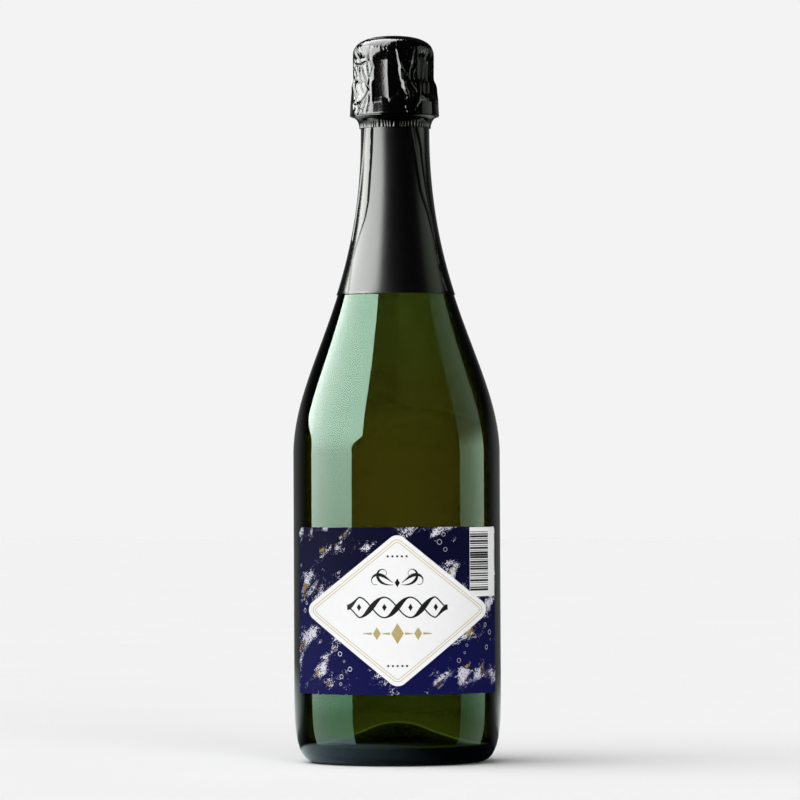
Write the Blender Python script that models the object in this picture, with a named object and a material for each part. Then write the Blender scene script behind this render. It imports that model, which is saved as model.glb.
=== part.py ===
"""A full bottle of sparkling wine: glass, wine, cork, wire cage, foil and label, in metres.

The bottle stands on z = 0 around the z axis, and its label faces -y. Each moving piece
hangs from an empty on the line that it slides along or turns about.
"""

import math

import bmesh
import bpy
from mathutils import Matrix, Vector

# Glass body, heights from the table up
BODY_RADIUS = 0.0446
GLASS_HEIGHT = 0.2985
BODY_WALL = 0.0065
SHOULDER_START = 0.1319
SHOULDER_FULLNESS = 0.0385
HEEL_WIDTH = 0.011
HEEL_HEIGHT = 0.030
FOOT_WIDTH = 0.0022
PUNT_DEPTH = 0.0135
PUNT_GLASS = 0.005
FLOOR_GLASS = 0.008
FLOOR_CORNER_WIDTH = 0.005
FLOOR_CORNER_HEIGHT = 0.007
FLOOR_VALLEY = 0.002

# Glass neck and finish, heights from the mouth down
NECK_RADIUS = 0.01436
NECK_FULLNESS = 0.0738
FINISH_DEPTH = 0.0265
BORE_RADIUS = 0.0088
LIP_RADIUS = 0.0143
LIP_ROUNDING = 0.002
LIP_HEIGHT = 0.0065
THROAT_RADIUS = 0.0136
THROAT_EASE = 0.001
COLLAR_RADIUS = 0.0158
COLLAR_DEPTH = 0.0125
COLLAR_HEIGHT = 0.003
COLLAR_EASE = 0.0006
COLLAR_SLOPE = 0.0009
GROOVE_RADIUS = 0.0132
GROOVE_HEIGHT = 0.0055
GROOVE_EASE = 0.0012

# Clearances and sheet thicknesses
GAP = 0.0003
CORK_GAP = 0.00035
FOIL_GAP = 0.0002
FOIL = 0.0002
PAPER = 0.0002

# Wine and cork
FILL_DEPTH = 0.085
CORK_HEAD_RADIUS = 0.0139
CORK_HEAD_HEIGHT = 0.0126
CORK_CROWN_HEIGHT = 0.005
CORK_FOOT_WIDTH = 0.0014
CORK_FOOT_HEIGHT = 0.0022
CORK_SHANK = 0.025
CORK_DISC = 0.0055
CORK_END_ROUNDING = 0.0008

# Wire cage and its metal cap
PLAQUE_METAL = 0.0003
PLAQUE_RADIUS = 0.0137
PLAQUE_HEIGHT = 0.0029
PLAQUE_RIM = 0.0005
PLAQUE_BEAD_RADIUS = 0.0085
PLAQUE_BEAD_DEPTH = 0.0003
FRAME_WIRE = 0.0009
BELT_WIRE = 0.001
LEG_TWIST_RADIUS = 0.0006
LEG_TURN = math.radians(14)
TAIL_LENGTH = 0.007
TAIL_TWIST_RADIUS = 0.0006
LOOP_WIDTH = 0.0076
LOOP_HEIGHT = 0.0088
LOOP_LEAN = 0.0019
LOOP_TURN = math.radians(-98)

# Foil hood, tear strip and neck sleeve
HOOD_EASE = 0.0005
HOOD_HEAD_EASE = 0.001
HOOD_FOIL = 0.00025
HOOD_CROWN_HEIGHT = 0.0085
HOOD_OPENING_RADIUS = 0.0105
HOOD_LAP = 0.001
HOOD_FOLD_DEPTH = 0.0006
LOOP_BULGE = 0.0012
TOP_DISC_RADIUS = 0.0118
STRIP_HEIGHT = 0.0052
STRIP_PLEAT_DEPTH = 0.0003
TAB_WIDTH = 0.0095
TAB_TIP_WIDTH = 0.0012
TAB_TURN = math.radians(56)
SLEEVE_LENGTH = 0.0719

# Label on the straight side of the body
LABEL_WIDTH = 0.1073
LABEL_HEIGHT = 0.071
LABEL_BOTTOM = 0.0304

# Counts and shares
SIDES = 48
CORK_SIDES = 32
CAGE_LEGS = 4
LEG_HALF_TWISTS = 5
TAIL_HALF_TWISTS = 3
LEG_STEPS = 16
HOOK_STEPS = 5
QUARTER_STEPS = 6
CURVE_STEPS = 12
SLEEVE_STEPS = 6
FILL_STEPS = 8
FLOOR_STEPS = 4
PUNT_STEPS = 8
CROWN_STEPS = 8
STRIP_PLEATS = 24
SIDES_PER_PLEAT = 3
STRIP_STEPS = 3
LABEL_STEPS = 24
CROWN_POWER = 2.5
HEEL_POWER = 3
LEG_CLEAR_SHARE = 0.35
TAB_REACH_SHARE = 0.7
LOOP_BULGE_TURN = math.radians(24)
FRONT = math.radians(-90)

# Heights that the pieces above share
MERGE = 1e-6
NECK_END = GLASS_HEIGHT - FINISH_DEPTH
COLLAR_TOP = GLASS_HEIGHT - COLLAR_DEPTH
COLLAR_BOTTOM = COLLAR_TOP - COLLAR_HEIGHT
CORK_FOOT = GLASS_HEIGHT + GAP
CORK_TOP = CORK_FOOT + CORK_HEAD_HEIGHT
PLAQUE_TOP = CORK_TOP + GAP + PLAQUE_METAL
HOOD_CROWN_TOP = PLAQUE_TOP + PLAQUE_BEAD_DEPTH + GAP + HOOD_FOIL
LEG_HALF = LEG_TWIST_RADIUS + FRAME_WIRE / 2
TAIL_HALF = TAIL_TWIST_RADIUS + BELT_WIRE / 2
HOOK_RADIUS = BELT_WIRE / 2 + GAP + FRAME_WIRE / 2
BELT_RADIUS = GROOVE_RADIUS + GAP + FRAME_WIRE / 2 + HOOK_RADIUS
BELT_HEIGHT = COLLAR_BOTTOM - COLLAR_SLOPE - GAP - FRAME_WIRE / 2 - HOOK_RADIUS
CORK_LEG_RADIUS = CORK_HEAD_RADIUS + GAP + LEG_HALF
LIP_LEG_RADIUS = LIP_RADIUS + GAP + LEG_HALF
COLLAR_LEG_RADIUS = COLLAR_RADIUS + GAP + LEG_HALF
RING_RADIUS = PLAQUE_RADIUS + GAP + FRAME_WIRE / 2
RING_HEIGHT = PLAQUE_TOP - PLAQUE_HEIGHT
LOOP_RADIUS = COLLAR_RADIUS + GAP + TAIL_HALF
HOOD_HEAD_RADIUS = CORK_LEG_RADIUS + LEG_HALF + HOOD_HEAD_EASE + HOOD_FOIL
HOOD_EDGE_RADIUS = COLLAR_LEG_RADIUS + LEG_HALF + HOOD_EASE + HOOD_FOIL
HOOD_EDGE = BELT_HEIGHT - HOOK_RADIUS
STRIP_TOP = HOOD_EDGE - GAP
STRIP_BOTTOM = STRIP_TOP - STRIP_HEIGHT
SLEEVE_TOP = STRIP_BOTTOM - GAP
STRIP_RADIUS = NECK_RADIUS + FOIL_GAP + FOIL + STRIP_PLEAT_DEPTH


def clear_scene():
    """Remove every object that the file opens with."""
    for leftover in list(bpy.data.objects):
        bpy.data.objects.remove(leftover, do_unlink=True)


def finish(name, color, roughness, metallic=0.0, transmission=0.0):
    """A plain Principled material."""
    material = bpy.data.materials.new(name)
    material.use_nodes = True
    shader = material.node_tree.nodes["Principled BSDF"]
    shader.inputs["Base Color"].default_value = (*color, 1.0)
    shader.inputs["Roughness"].default_value = roughness
    shader.inputs["Metallic"].default_value = metallic
    shader.inputs["Transmission Weight"].default_value = transmission
    material.diffuse_color = (*color, 1.0)
    return material


def place_of(carrier):
    """Where an empty stands in the part; none of them is turned."""
    place = Vector()
    while carrier:
        place += carrier.location
        carrier = carrier.parent
    return place


def pivot(name, place, carrier=None):
    """An empty on a joint's line, under the empty of the piece that carries it."""
    empty = bpy.data.objects.new(name, None)
    bpy.context.collection.objects.link(empty)
    empty.parent = carrier
    empty.location = Vector(place) - place_of(carrier)
    return empty


def add(name, data, look, carrier):
    """Put a mesh or curve into the scene under its carrier."""
    data.transform(Matrix.Translation(-place_of(carrier)))
    data.materials.append(look)
    piece = bpy.data.objects.new(name, data)
    bpy.context.collection.objects.link(piece)
    piece.parent = carrier
    return piece


def add_surface(name, bm, look, carrier):
    """Close up a bmesh, turn its faces outwards and add it, shaded smooth."""
    bmesh.ops.remove_doubles(bm, verts=bm.verts, dist=MERGE)
    bmesh.ops.recalc_face_normals(bm, faces=bm.faces)
    mesh = bpy.data.meshes.new(name)
    bm.to_mesh(mesh)
    bm.free()
    mesh.shade_smooth()
    mesh.set_sharp_from_angle(angle=math.radians(40))
    return add(name, mesh, look, carrier)


def around(turn, radius, height, aside=0.0):
    """A point at a turn about the bottle's axis, moved aside along the circle."""
    return Vector((
        radius * math.cos(turn) - aside * math.sin(turn),
        radius * math.sin(turn) + aside * math.cos(turn),
        height,
    ))


def turned(name, outline, look, carrier, sides=SIDES):
    """A solid of revolution from an outline of (radius, height) that ends on the axis."""
    bm = bmesh.new()
    line = [bm.verts.new((radius, 0.0, height)) for radius, height in outline]
    edges = [bm.edges.new(pair) for pair in zip(line, line[1:])]
    bmesh.ops.spin(bm, geom=line + edges, cent=(0, 0, 0), axis=(0, 0, 1),
                   angle=2 * math.pi, steps=sides, use_merge=True)
    return add_surface(name, bm, look, carrier)


def sheet(name, outside, inside, look, carrier, ring):
    """A thin sheet between two grids of points, shut along every edge."""
    bm = bmesh.new()
    grids = [[[bm.verts.new(point) for point in row] for row in grid]
             for grid in (outside, inside)]
    rows, columns = len(outside), len(outside[0])
    last_column = columns if ring else columns - 1
    for grid in grids:
        for row in range(rows - 1):
            for column in range(last_column):
                beside = (column + 1) % columns
                bm.faces.new((grid[row][column], grid[row][beside],
                              grid[row + 1][beside], grid[row + 1][column]))
    outer, inner = grids
    for row in (0, rows - 1):
        for column in range(last_column):
            beside = (column + 1) % columns
            bm.faces.new((outer[row][column], outer[row][beside],
                          inner[row][beside], inner[row][column]))
    for column in () if ring else (0, columns - 1):
        for row in range(rows - 1):
            bm.faces.new((outer[row][column], outer[row + 1][column],
                          inner[row + 1][column], inner[row][column]))
    return add_surface(name, bm, look, carrier)


def ring_grid(outline, sides, dent=None):
    """Rows of points around the axis, each row drawn in by dent(turn, height)."""
    rows = []
    for radius, height in outline:
        turns = [2 * math.pi * side / sides for side in range(sides)]
        rows.append([around(turn, radius - (dent(turn, height) if dent else 0.0), height)
                     for turn in turns])
    return rows


def wire(name, points, thickness, look, carrier, ring=False):
    """A round wire through the points."""
    curve = bpy.data.curves.new(name, "CURVE")
    curve.dimensions = "3D"
    curve.bevel_depth = thickness / 2
    curve.bevel_resolution = 1
    curve.use_fill_caps = True
    spline = curve.splines.new("POLY")
    spline.points.add(len(points) - 1)
    for knot, point in zip(spline.points, points):
        knot.co = (*point, 1.0)
    spline.use_cyclic_u = ring
    spline.use_smooth = True
    return add(name, curve, look, carrier)


def ellipse(center, width, height, start, end, steps=QUARTER_STEPS, power=2):
    """An ellipse's arc between two angles in degrees; a power over 2 makes it squarer."""
    points = []
    for step in range(steps + 1):
        angle = math.radians(start + (end - start) * step / steps)
        across, up = (math.copysign(abs(part) ** (2 / power), part)
                      for part in (math.cos(angle), math.sin(angle)))
        points.append((center[0] + width * across, center[1] + height * up))
    return points


def bell(radius, bottom, top):
    """A bell's outline from its top on the axis down to its rim."""
    shares = [step / PUNT_STEPS for step in range(PUNT_STEPS + 1)]
    return [(radius * share, bottom + (top - bottom) * (1 + math.cos(math.pi * share)) / 2)
            for share in shares]


def crown(top, width, height, reach, steps=CROWN_STEPS):
    """A domed cap's outline from the axis out to the reach."""
    points = []
    for step in range(steps + 1):
        radius = reach * math.sin(math.pi / 2 * step / steps)
        fall = 1 - (1 - min(radius / width, 1.0) ** CROWN_POWER) ** (1 / CROWN_POWER)
        points.append((radius, top - height * fall))
    return points


def offset(line, distance):
    """The line moved to its left by a distance."""
    moved = []
    for index, (radius, height) in enumerate(line):
        before = line[max(index - 1, 0)]
        after = line[min(index + 1, len(line) - 1)]
        along = Vector((after[0] - before[0], after[1] - before[1])).normalized()
        moved.append((radius - along.y * distance, height + along.x * distance))
    return moved


def spaced(line, steps):
    """The line again, with its points evenly spaced."""
    lengths = [math.dist(a, b) for a, b in zip(line, line[1:])]
    total, placed = sum(lengths), [line[0]]
    for step in range(1, steps):
        left, index = total * step / steps, 0
        while left > lengths[index]:
            left -= lengths[index]
            index += 1
        share = left / lengths[index]
        placed.append(tuple(a + (b - a) * share for a, b in zip(line[index], line[index + 1])))
    return placed + [line[-1]]


def shoulder(share, body_radius, neck_radius):
    """A point of the curve from the body up into the neck, at a share from 0 to 1."""
    rest = 1 - share
    weights = (rest ** 3, 3 * rest ** 2 * share, 3 * rest * share ** 2, share ** 3)
    radii = (body_radius, body_radius, neck_radius, neck_radius)
    heights = (SHOULDER_START, SHOULDER_START + SHOULDER_FULLNESS,
               NECK_END - NECK_FULLNESS, NECK_END)
    return (sum(w * r for w, r in zip(weights, radii)),
            sum(w * h for w, h in zip(weights, heights)))


def shoulder_share(height):
    """The share at which the shoulder's curve reaches a height."""
    low, high = 0.0, 1.0
    for _ in range(40):
        middle = (low + high) / 2
        if shoulder(middle, BODY_RADIUS, NECK_RADIUS)[1] < height:
            low = middle
        else:
            high = middle
    return low


def shoulder_line(body_radius, neck_radius, start=0.0, end=1.0, steps=CURVE_STEPS):
    """The shoulder's curve between two shares."""
    return [shoulder(start + (end - start) * step / steps, body_radius, neck_radius)
            for step in range(steps + 1)]


def neck_foil_line(out):
    """The neck's surface under the sleeve, moved outwards."""
    start = shoulder_share(SLEEVE_TOP - SLEEVE_LENGTH)
    line = shoulder_line(BODY_RADIUS, NECK_RADIUS, start, 1.0, SLEEVE_STEPS)
    line.append((NECK_RADIUS, SLEEVE_TOP))
    return offset(line, -out)


def punt_and_heel():
    """The glass from the top of the punt down to the foot and round the heel."""
    foot_radius = BODY_RADIUS - HEEL_WIDTH
    heel = ellipse((foot_radius, HEEL_HEIGHT), HEEL_WIDTH, HEEL_HEIGHT, -90, 0,
                   power=HEEL_POWER)
    return bell(foot_radius - FOOT_WIDTH, 0.0, PUNT_DEPTH) + heel


def finish_line():
    """The glass from the end of the neck up over the collar and the lip to the bore."""
    groove_top = COLLAR_BOTTOM - COLLAR_SLOPE
    groove_bottom = groove_top - GROOVE_HEIGHT
    lip_bottom = GLASS_HEIGHT - LIP_HEIGHT
    lip_center = (LIP_RADIUS - LIP_ROUNDING, GLASS_HEIGHT - LIP_ROUNDING)
    bore_edge = (BORE_RADIUS, GLASS_HEIGHT - LIP_ROUNDING / 2)
    return [
        (NECK_RADIUS, groove_bottom - GROOVE_EASE),
        (GROOVE_RADIUS, groove_bottom + GROOVE_EASE),
        (GROOVE_RADIUS, groove_top),
        (COLLAR_RADIUS - COLLAR_EASE, COLLAR_BOTTOM),
        (COLLAR_RADIUS, COLLAR_BOTTOM + COLLAR_EASE),
        (COLLAR_RADIUS, COLLAR_TOP - COLLAR_EASE),
        (COLLAR_RADIUS - COLLAR_EASE, COLLAR_TOP),
        (THROAT_RADIUS, COLLAR_TOP + THROAT_EASE),
        (THROAT_RADIUS, lip_bottom - THROAT_EASE),
        (LIP_RADIUS, lip_bottom),
        *ellipse(lip_center, LIP_ROUNDING, LIP_ROUNDING, 0, 90, 3),
        (BORE_RADIUS + LIP_ROUNDING / 2, GLASS_HEIGHT),
        bore_edge,
    ]


def inside_line():
    """The bottle's inside from the wine's level down the wall and over the punt to the axis."""
    wall = BODY_RADIUS - BODY_WALL
    corner = (wall - FLOOR_CORNER_WIDTH, FLOOR_GLASS + FLOOR_CORNER_HEIGHT)
    dome = bell(corner[0] - FLOOR_VALLEY, FLOOR_GLASS, PUNT_DEPTH + PUNT_GLASS)
    fill_share = shoulder_share(GLASS_HEIGHT - FILL_DEPTH)
    return [
        *reversed(shoulder_line(wall, BORE_RADIUS, 0.0, fill_share, FILL_STEPS)),
        *ellipse(corner, FLOOR_CORNER_WIDTH, FLOOR_CORNER_HEIGHT, 0, -90, FLOOR_STEPS),
        *reversed(dome),
    ]


def glass_bottle(look):
    """The bottle: punt, heel, body, shoulder, neck, collar, lip and the open inside."""
    fill_share = shoulder_share(GLASS_HEIGHT - FILL_DEPTH)
    neck_inside = shoulder_line(BODY_RADIUS - BODY_WALL, BORE_RADIUS, fill_share, 1.0,
                                FLOOR_STEPS)
    outline = [
        *punt_and_heel(),
        *shoulder_line(BODY_RADIUS, NECK_RADIUS),
        *finish_line(),
        *reversed(neck_inside[1:]),
        *inside_line(),
    ]
    turned("glass_bottle", outline, look, None)


def wine(look):
    """The wine, up to its level in the neck."""
    line = offset(inside_line(), -GAP)
    turned("wine", [(0.0, line[0][1]), *line[:-1], (0.0, line[-1][1])], look, None)


def cork(body_look, disc_look, carrier):
    """The mushroom of pressed cork and the two natural discs glued under it."""
    shank = BORE_RADIUS - CORK_GAP
    foot = CORK_FOOT + CORK_FOOT_HEIGHT
    end = CORK_FOOT - CORK_SHANK
    discs_top = end + 2 * CORK_DISC + GAP
    head = crown(CORK_TOP, CORK_HEAD_RADIUS, CORK_CROWN_HEIGHT, CORK_HEAD_RADIUS)
    outline = [
        *head,
        (CORK_HEAD_RADIUS, foot),
        (CORK_HEAD_RADIUS - CORK_FOOT_WIDTH, CORK_FOOT),
        (shank, CORK_FOOT),
        (shank, discs_top + GAP),
        (0.0, discs_top + GAP),
    ]
    turned("cork_body", outline, body_look, carrier, CORK_SIDES)
    rim = shank - CORK_END_ROUNDING
    for name, top in (("cork_disc_upper", discs_top), ("cork_disc_lower", end + CORK_DISC)):
        bottom = top - CORK_DISC
        edge = [(rim, bottom), (shank, bottom + CORK_END_ROUNDING)]
        disc = [(0.0, bottom), *edge, (shank, top), (0.0, top)]
        turned(name, disc, disc_look, carrier, CORK_SIDES)


def plaque(look, carrier):
    """The metal cap on the cork, with a rolled bead and a turned-down rim."""
    dome = crown(PLAQUE_TOP, PLAQUE_RADIUS, PLAQUE_HEIGHT, PLAQUE_RADIUS)
    beaded = []
    for radius, height in dome:
        near = max(0.0, 1 - abs(radius - PLAQUE_BEAD_RADIUS) / (PLAQUE_RADIUS - PLAQUE_BEAD_RADIUS))
        beaded.append((radius, height + PLAQUE_BEAD_DEPTH * near * near))
    rim = PLAQUE_TOP - PLAQUE_HEIGHT - PLAQUE_RIM
    under = [(radius, height - PLAQUE_METAL) for radius, height in beaded
             if radius < PLAQUE_RADIUS - PLAQUE_METAL]
    inner = PLAQUE_RADIUS - PLAQUE_METAL
    outline = [*beaded, (PLAQUE_RADIUS, rim), (inner, rim),
               (inner, RING_HEIGHT), *reversed(under)]
    turned("cage_cap_plaque", outline, look, carrier, CORK_SIDES)


def leg_line():
    """The middle of a cage leg, as (radius, height) from the top ring to the collar."""
    lip_bottom = GLASS_HEIGHT - LIP_HEIGHT
    return spaced([
        (RING_RADIUS, RING_HEIGHT),
        (CORK_LEG_RADIUS, RING_HEIGHT - CORK_CROWN_HEIGHT / 2),
        (CORK_LEG_RADIUS, CORK_FOOT + CORK_FOOT_HEIGHT),
        (LIP_LEG_RADIUS, GLASS_HEIGHT - LIP_ROUNDING / 2),
        (LIP_LEG_RADIUS, lip_bottom),
        (COLLAR_LEG_RADIUS, COLLAR_TOP + COLLAR_EASE),
        (COLLAR_LEG_RADIUS, COLLAR_BOTTOM + COLLAR_EASE),
    ], LEG_STEPS)


def leg_strand(turn, side):
    """One wire of a leg's twisted pair, from the ring down to its hook round the belt."""
    line = leg_line()
    normals = [Vector(moved) - Vector(place) for moved, place in zip(offset(line, 1.0), line)]
    points = []
    for step, ((radius, height), normal) in enumerate(zip(line, normals)):
        angle = math.pi * LEG_HALF_TWISTS * step / LEG_STEPS
        aside = side * LEG_TWIST_RADIUS * math.cos(angle)
        out = side * LEG_TWIST_RADIUS * math.sin(angle)
        points.append(around(turn, radius + out * normal.x, height + out * normal.y, aside))
    first, last = (45, -80) if side > 0 else (90, 260)
    hook = ellipse((BELT_RADIUS, BELT_HEIGHT), HOOK_RADIUS, HOOK_RADIUS, first, last, HOOK_STEPS)
    return points + [around(turn, radius, height, aside) for radius, height in hook]


def cage_wires(look, carrier):
    """Four wires, each half of two twisted legs and a quarter of the ring between them."""
    quarter = 2 * math.pi / CAGE_LEGS
    spread = LEG_TWIST_RADIUS / RING_RADIUS
    for number in range(CAGE_LEGS):
        start = FRONT + LEG_TURN + number * quarter
        arc = [around(start + spread + (quarter - 2 * spread) * step / QUARTER_STEPS,
                      RING_RADIUS, RING_HEIGHT) for step in range(1, QUARTER_STEPS)]
        points = [*reversed(leg_strand(start, 1)), *arc, *leg_strand(start + quarter, -1)]
        wire(f"cage_wire_{number + 1}", points, FRAME_WIRE, look, carrier)


def cage_belt(look, carrier):
    """The wire round the neck under the collar, through the hooks of the legs."""
    points = [around(2 * math.pi * side / SIDES, BELT_RADIUS, BELT_HEIGHT)
              for side in range(0, SIDES, 2)]
    wire("cage_belt_wire", points, BELT_WIRE, look, carrier, ring=True)


def loop_out(height):
    """How far from the bottle's axis the loop's middle lies at a height above its root."""
    over = max(0.0, height - TAIL_LENGTH) / (LOOP_HEIGHT / 2)
    return LOOP_RADIUS - LOOP_LEAN * min(over, 1.0)


def tail_strand(side):
    """One wire of the loop's twisted tail, from its root up."""
    points = []
    steps = 3 * TAIL_HALF_TWISTS
    for step in range(steps):
        angle = math.pi * TAIL_HALF_TWISTS * step / steps
        height = TAIL_LENGTH * step / steps
        out = side * TAIL_TWIST_RADIUS * math.sin(angle)
        aside = side * TAIL_TWIST_RADIUS * math.cos(angle)
        points.append(around(FRONT + LOOP_TURN, LOOP_RADIUS + out, BELT_HEIGHT + height, aside))
    return points


def cage_loop(look, carrier):
    """The belt's twisted tail and the ring that a finger turns to undo it."""
    ring = []
    steps = 2 * QUARTER_STEPS
    for step in range(steps + 1):
        angle = 2 * math.pi * (step + 0.5) / (steps + 1)
        height = TAIL_LENGTH + LOOP_HEIGHT / 2 * (1 - math.cos(angle))
        aside = LOOP_WIDTH / 2 * math.sin(angle)
        ring.append(around(FRONT + LOOP_TURN, loop_out(height), BELT_HEIGHT + height, aside))
    points = [*tail_strand(-1), *ring, *reversed(tail_strand(1))]
    wire("cage_loop", points, BELT_WIRE, look, carrier)


def near_turn(turn, place, width):
    """1 at a place round the bottle, falling smoothly to 0 at a width either side."""
    away = abs((turn - place + math.pi) % (2 * math.pi) - math.pi)
    return (1 + math.cos(math.pi * min(away / width, 1.0))) / 2


def hood_dent(turn, height):
    """How far the hood sinks between the cage's legs; below zero it bulges over the loop."""
    legs = (1 + math.cos(CAGE_LEGS * (turn - FRONT - LEG_TURN))) / 2
    sink = max(0.0, 1 - legs / (1 - LEG_CLEAR_SHARE)) * HOOD_FOLD_DEPTH
    loop = near_turn(turn, FRONT + LOOP_TURN, LOOP_BULGE_TURN)
    low = min(1.0, max(0.0, (GLASS_HEIGHT - height) / LIP_HEIGHT - 1))
    side = min(1.0, max(0.0, (HOOD_CROWN_TOP - height) / HOOD_CROWN_HEIGHT))
    return sink * side * (1 - loop) - LOOP_BULGE * loop * low


def hood_line():
    """The hood's outer side from its turned-in top edge down to its lower edge."""
    out = LEG_HALF + HOOD_EASE + HOOD_FOIL
    lip_bottom = GLASS_HEIGHT - LIP_HEIGHT
    head = crown(HOOD_CROWN_TOP, HOOD_HEAD_RADIUS, HOOD_CROWN_HEIGHT, HOOD_HEAD_RADIUS)
    return [
        *(point for point in head if point[0] > HOOD_OPENING_RADIUS - HOOD_LAP),
        (HOOD_HEAD_RADIUS, CORK_FOOT + CORK_FOOT_HEIGHT),
        (LIP_LEG_RADIUS + out, GLASS_HEIGHT - LIP_ROUNDING),
        (LIP_LEG_RADIUS + out, lip_bottom + LIP_ROUNDING),
        (HOOD_EDGE_RADIUS - HOOD_EASE, lip_bottom),
        (HOOD_EDGE_RADIUS, COLLAR_BOTTOM),
        (HOOD_EDGE_RADIUS, HOOD_EDGE),
    ]


def foil_hood(look, carrier):
    """The creased foil over cork and cage, and the round piece on its top."""
    line = hood_line()
    outside = ring_grid(line, SIDES, hood_dent)
    inside = ring_grid(offset(line, -HOOD_FOIL), SIDES, hood_dent)
    sheet("foil_hood_skirt", outside, inside, look, carrier, ring=True)
    under = crown(HOOD_CROWN_TOP + FOIL_GAP, HOOD_HEAD_RADIUS, HOOD_CROWN_HEIGHT,
                  TOP_DISC_RADIUS, 4)
    over = [(radius, height + HOOD_FOIL) for radius, height in under]
    turned("foil_top_disc", [*over, *reversed(under)], look, carrier, CORK_SIDES)


def strip_line(reach_share=1.0):
    """The tear strip's outer side, flaring from the neck up towards the hood's edge."""
    flare = HOOD_EDGE_RADIUS - STRIP_RADIUS - FOIL
    center = (STRIP_RADIUS + FOIL + flare, STRIP_BOTTOM)
    return ellipse(center, flare, STRIP_HEIGHT, 180, 180 - 90 * reach_share, STRIP_STEPS)


def pleat_dent(turn, height):
    """The fine pleats of the tear strip, strongest at its lower edge."""
    low = 1 - (height - STRIP_BOTTOM) / STRIP_HEIGHT
    wave = (1 - math.cos(STRIP_PLEATS * turn)) / 2
    return STRIP_PLEAT_DEPTH * wave * max(low, 0.0)


def tear_strip(look, carrier):
    """The pleated strip that tears off round the neck, and its pointed tab."""
    line = strip_line()
    sides = STRIP_PLEATS * SIDES_PER_PLEAT
    outside = ring_grid(line, sides, pleat_dent)
    inside = ring_grid(offset(line, -FOIL), sides, pleat_dent)
    sheet("foil_tear_strip", outside, inside, look, carrier, ring=True)
    turn = FRONT + TAB_TURN
    grids = []
    for out in (GAP + FOIL, GAP):
        rows = []
        for step, (radius, height) in enumerate(offset(strip_line(TAB_REACH_SHARE), out)):
            share = step / STRIP_STEPS
            half = (TAB_TIP_WIDTH + (TAB_WIDTH - TAB_TIP_WIDTH) * share) / 2
            rows.append([around(turn + half * column / (2 * radius), radius, height)
                         for column in (-2, -1, 0, 1, 2)])
        grids.append(rows)
    sheet("foil_pull_tab", *grids, look, carrier, ring=False)


def foil_sleeve(look):
    """The smooth foil round the neck and the top of the shoulder."""
    grids = [ring_grid(neck_foil_line(out), SIDES) for out in (FOIL_GAP + FOIL, FOIL_GAP)]
    sheet("foil_neck_sleeve", *grids, look, None, ring=True)


def front_label(look):
    """The paper label wrapped round the front of the body."""
    half = LABEL_WIDTH / (2 * (BODY_RADIUS + FOIL_GAP))
    turns = [FRONT - half + 2 * half * step / LABEL_STEPS for step in range(LABEL_STEPS + 1)]
    grids = []
    for out in (FOIL_GAP + PAPER, FOIL_GAP):
        grids.append([[around(turn, BODY_RADIUS + out, height) for turn in turns]
                      for height in (LABEL_BOTTOM, LABEL_BOTTOM + LABEL_HEIGHT)])
    sheet("front_label", *grids, look, None, ring=False)


def main():
    """Build every piece, from the glass outwards."""
    clear_scene()
    green = finish("bottle_glass", (0.05, 0.10, 0.02), 0.05, transmission=0.9)
    gold_wine = finish("wine", (0.75, 0.62, 0.25), 0.0, transmission=1.0)
    pressed = finish("pressed_cork", (0.55, 0.38, 0.22), 0.9)
    natural = finish("natural_cork", (0.62, 0.45, 0.28), 0.85)
    steel = finish("steel_wire", (0.62, 0.62, 0.60), 0.35, metallic=1.0)
    tin = finish("cap_metal", (0.03, 0.03, 0.03), 0.3, metallic=1.0)
    foil = finish("black_foil", (0.012, 0.012, 0.013), 0.22, metallic=0.3)
    paper = finish("label_paper", (0.02, 0.02, 0.12), 0.6)

    cork_line = pivot("cork_slide", (0, 0, GLASS_HEIGHT))
    cage_line = pivot("cage_slide", (0, 0, CORK_TOP), cork_line)
    hood_axis = pivot("hood_slide", (0, 0, PLAQUE_TOP), cage_line)
    loop_root = pivot("loop_hinge", around(FRONT + LOOP_TURN, LOOP_RADIUS, BELT_HEIGHT), cage_line)
    strip_axis = pivot("strip_hinge", (0, 0, STRIP_BOTTOM))

    glass_bottle(green)
    wine(gold_wine)
    cork(pressed, natural, cork_line)
    plaque(tin, cage_line)
    cage_wires(steel, cage_line)
    cage_belt(steel, cage_line)
    cage_loop(steel, loop_root)
    foil_hood(foil, hood_axis)
    tear_strip(foil, strip_axis)
    foil_sleeve(foil)
    front_label(paper)


main()
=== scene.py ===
"""The looks of a full bottle of sparkling wine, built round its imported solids, in metres.

The bottle stands on z = 0 around the z axis, and its label faces -y. Every turn is an angle
about that axis, measured from the label's middle towards +x.
"""

import logging
import math
from dataclasses import dataclass
from enum import Enum
from typing import Callable, Sequence

import bmesh
import bpy
import numpy as np
from mathutils import Matrix, Vector, noise


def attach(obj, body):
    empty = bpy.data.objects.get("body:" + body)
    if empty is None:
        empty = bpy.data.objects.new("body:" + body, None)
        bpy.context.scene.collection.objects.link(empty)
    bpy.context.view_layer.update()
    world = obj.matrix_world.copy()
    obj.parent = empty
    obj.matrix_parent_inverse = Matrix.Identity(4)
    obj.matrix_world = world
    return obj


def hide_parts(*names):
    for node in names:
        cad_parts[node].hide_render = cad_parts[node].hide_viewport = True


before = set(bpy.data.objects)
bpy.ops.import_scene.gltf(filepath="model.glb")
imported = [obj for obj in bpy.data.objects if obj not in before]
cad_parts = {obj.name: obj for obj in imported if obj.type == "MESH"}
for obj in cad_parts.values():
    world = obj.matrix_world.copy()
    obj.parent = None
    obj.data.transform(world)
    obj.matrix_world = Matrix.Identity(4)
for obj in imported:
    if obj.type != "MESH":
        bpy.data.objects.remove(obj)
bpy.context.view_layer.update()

Outline = list[tuple[float, float]]
Color = tuple[float, float, float]
log = logging.getLogger("sparkling_wine_bottle")
MERGE = 1e-7
FRONT = math.radians(-90)
HANDS = (("right", 1), ("left", -1))


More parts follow.
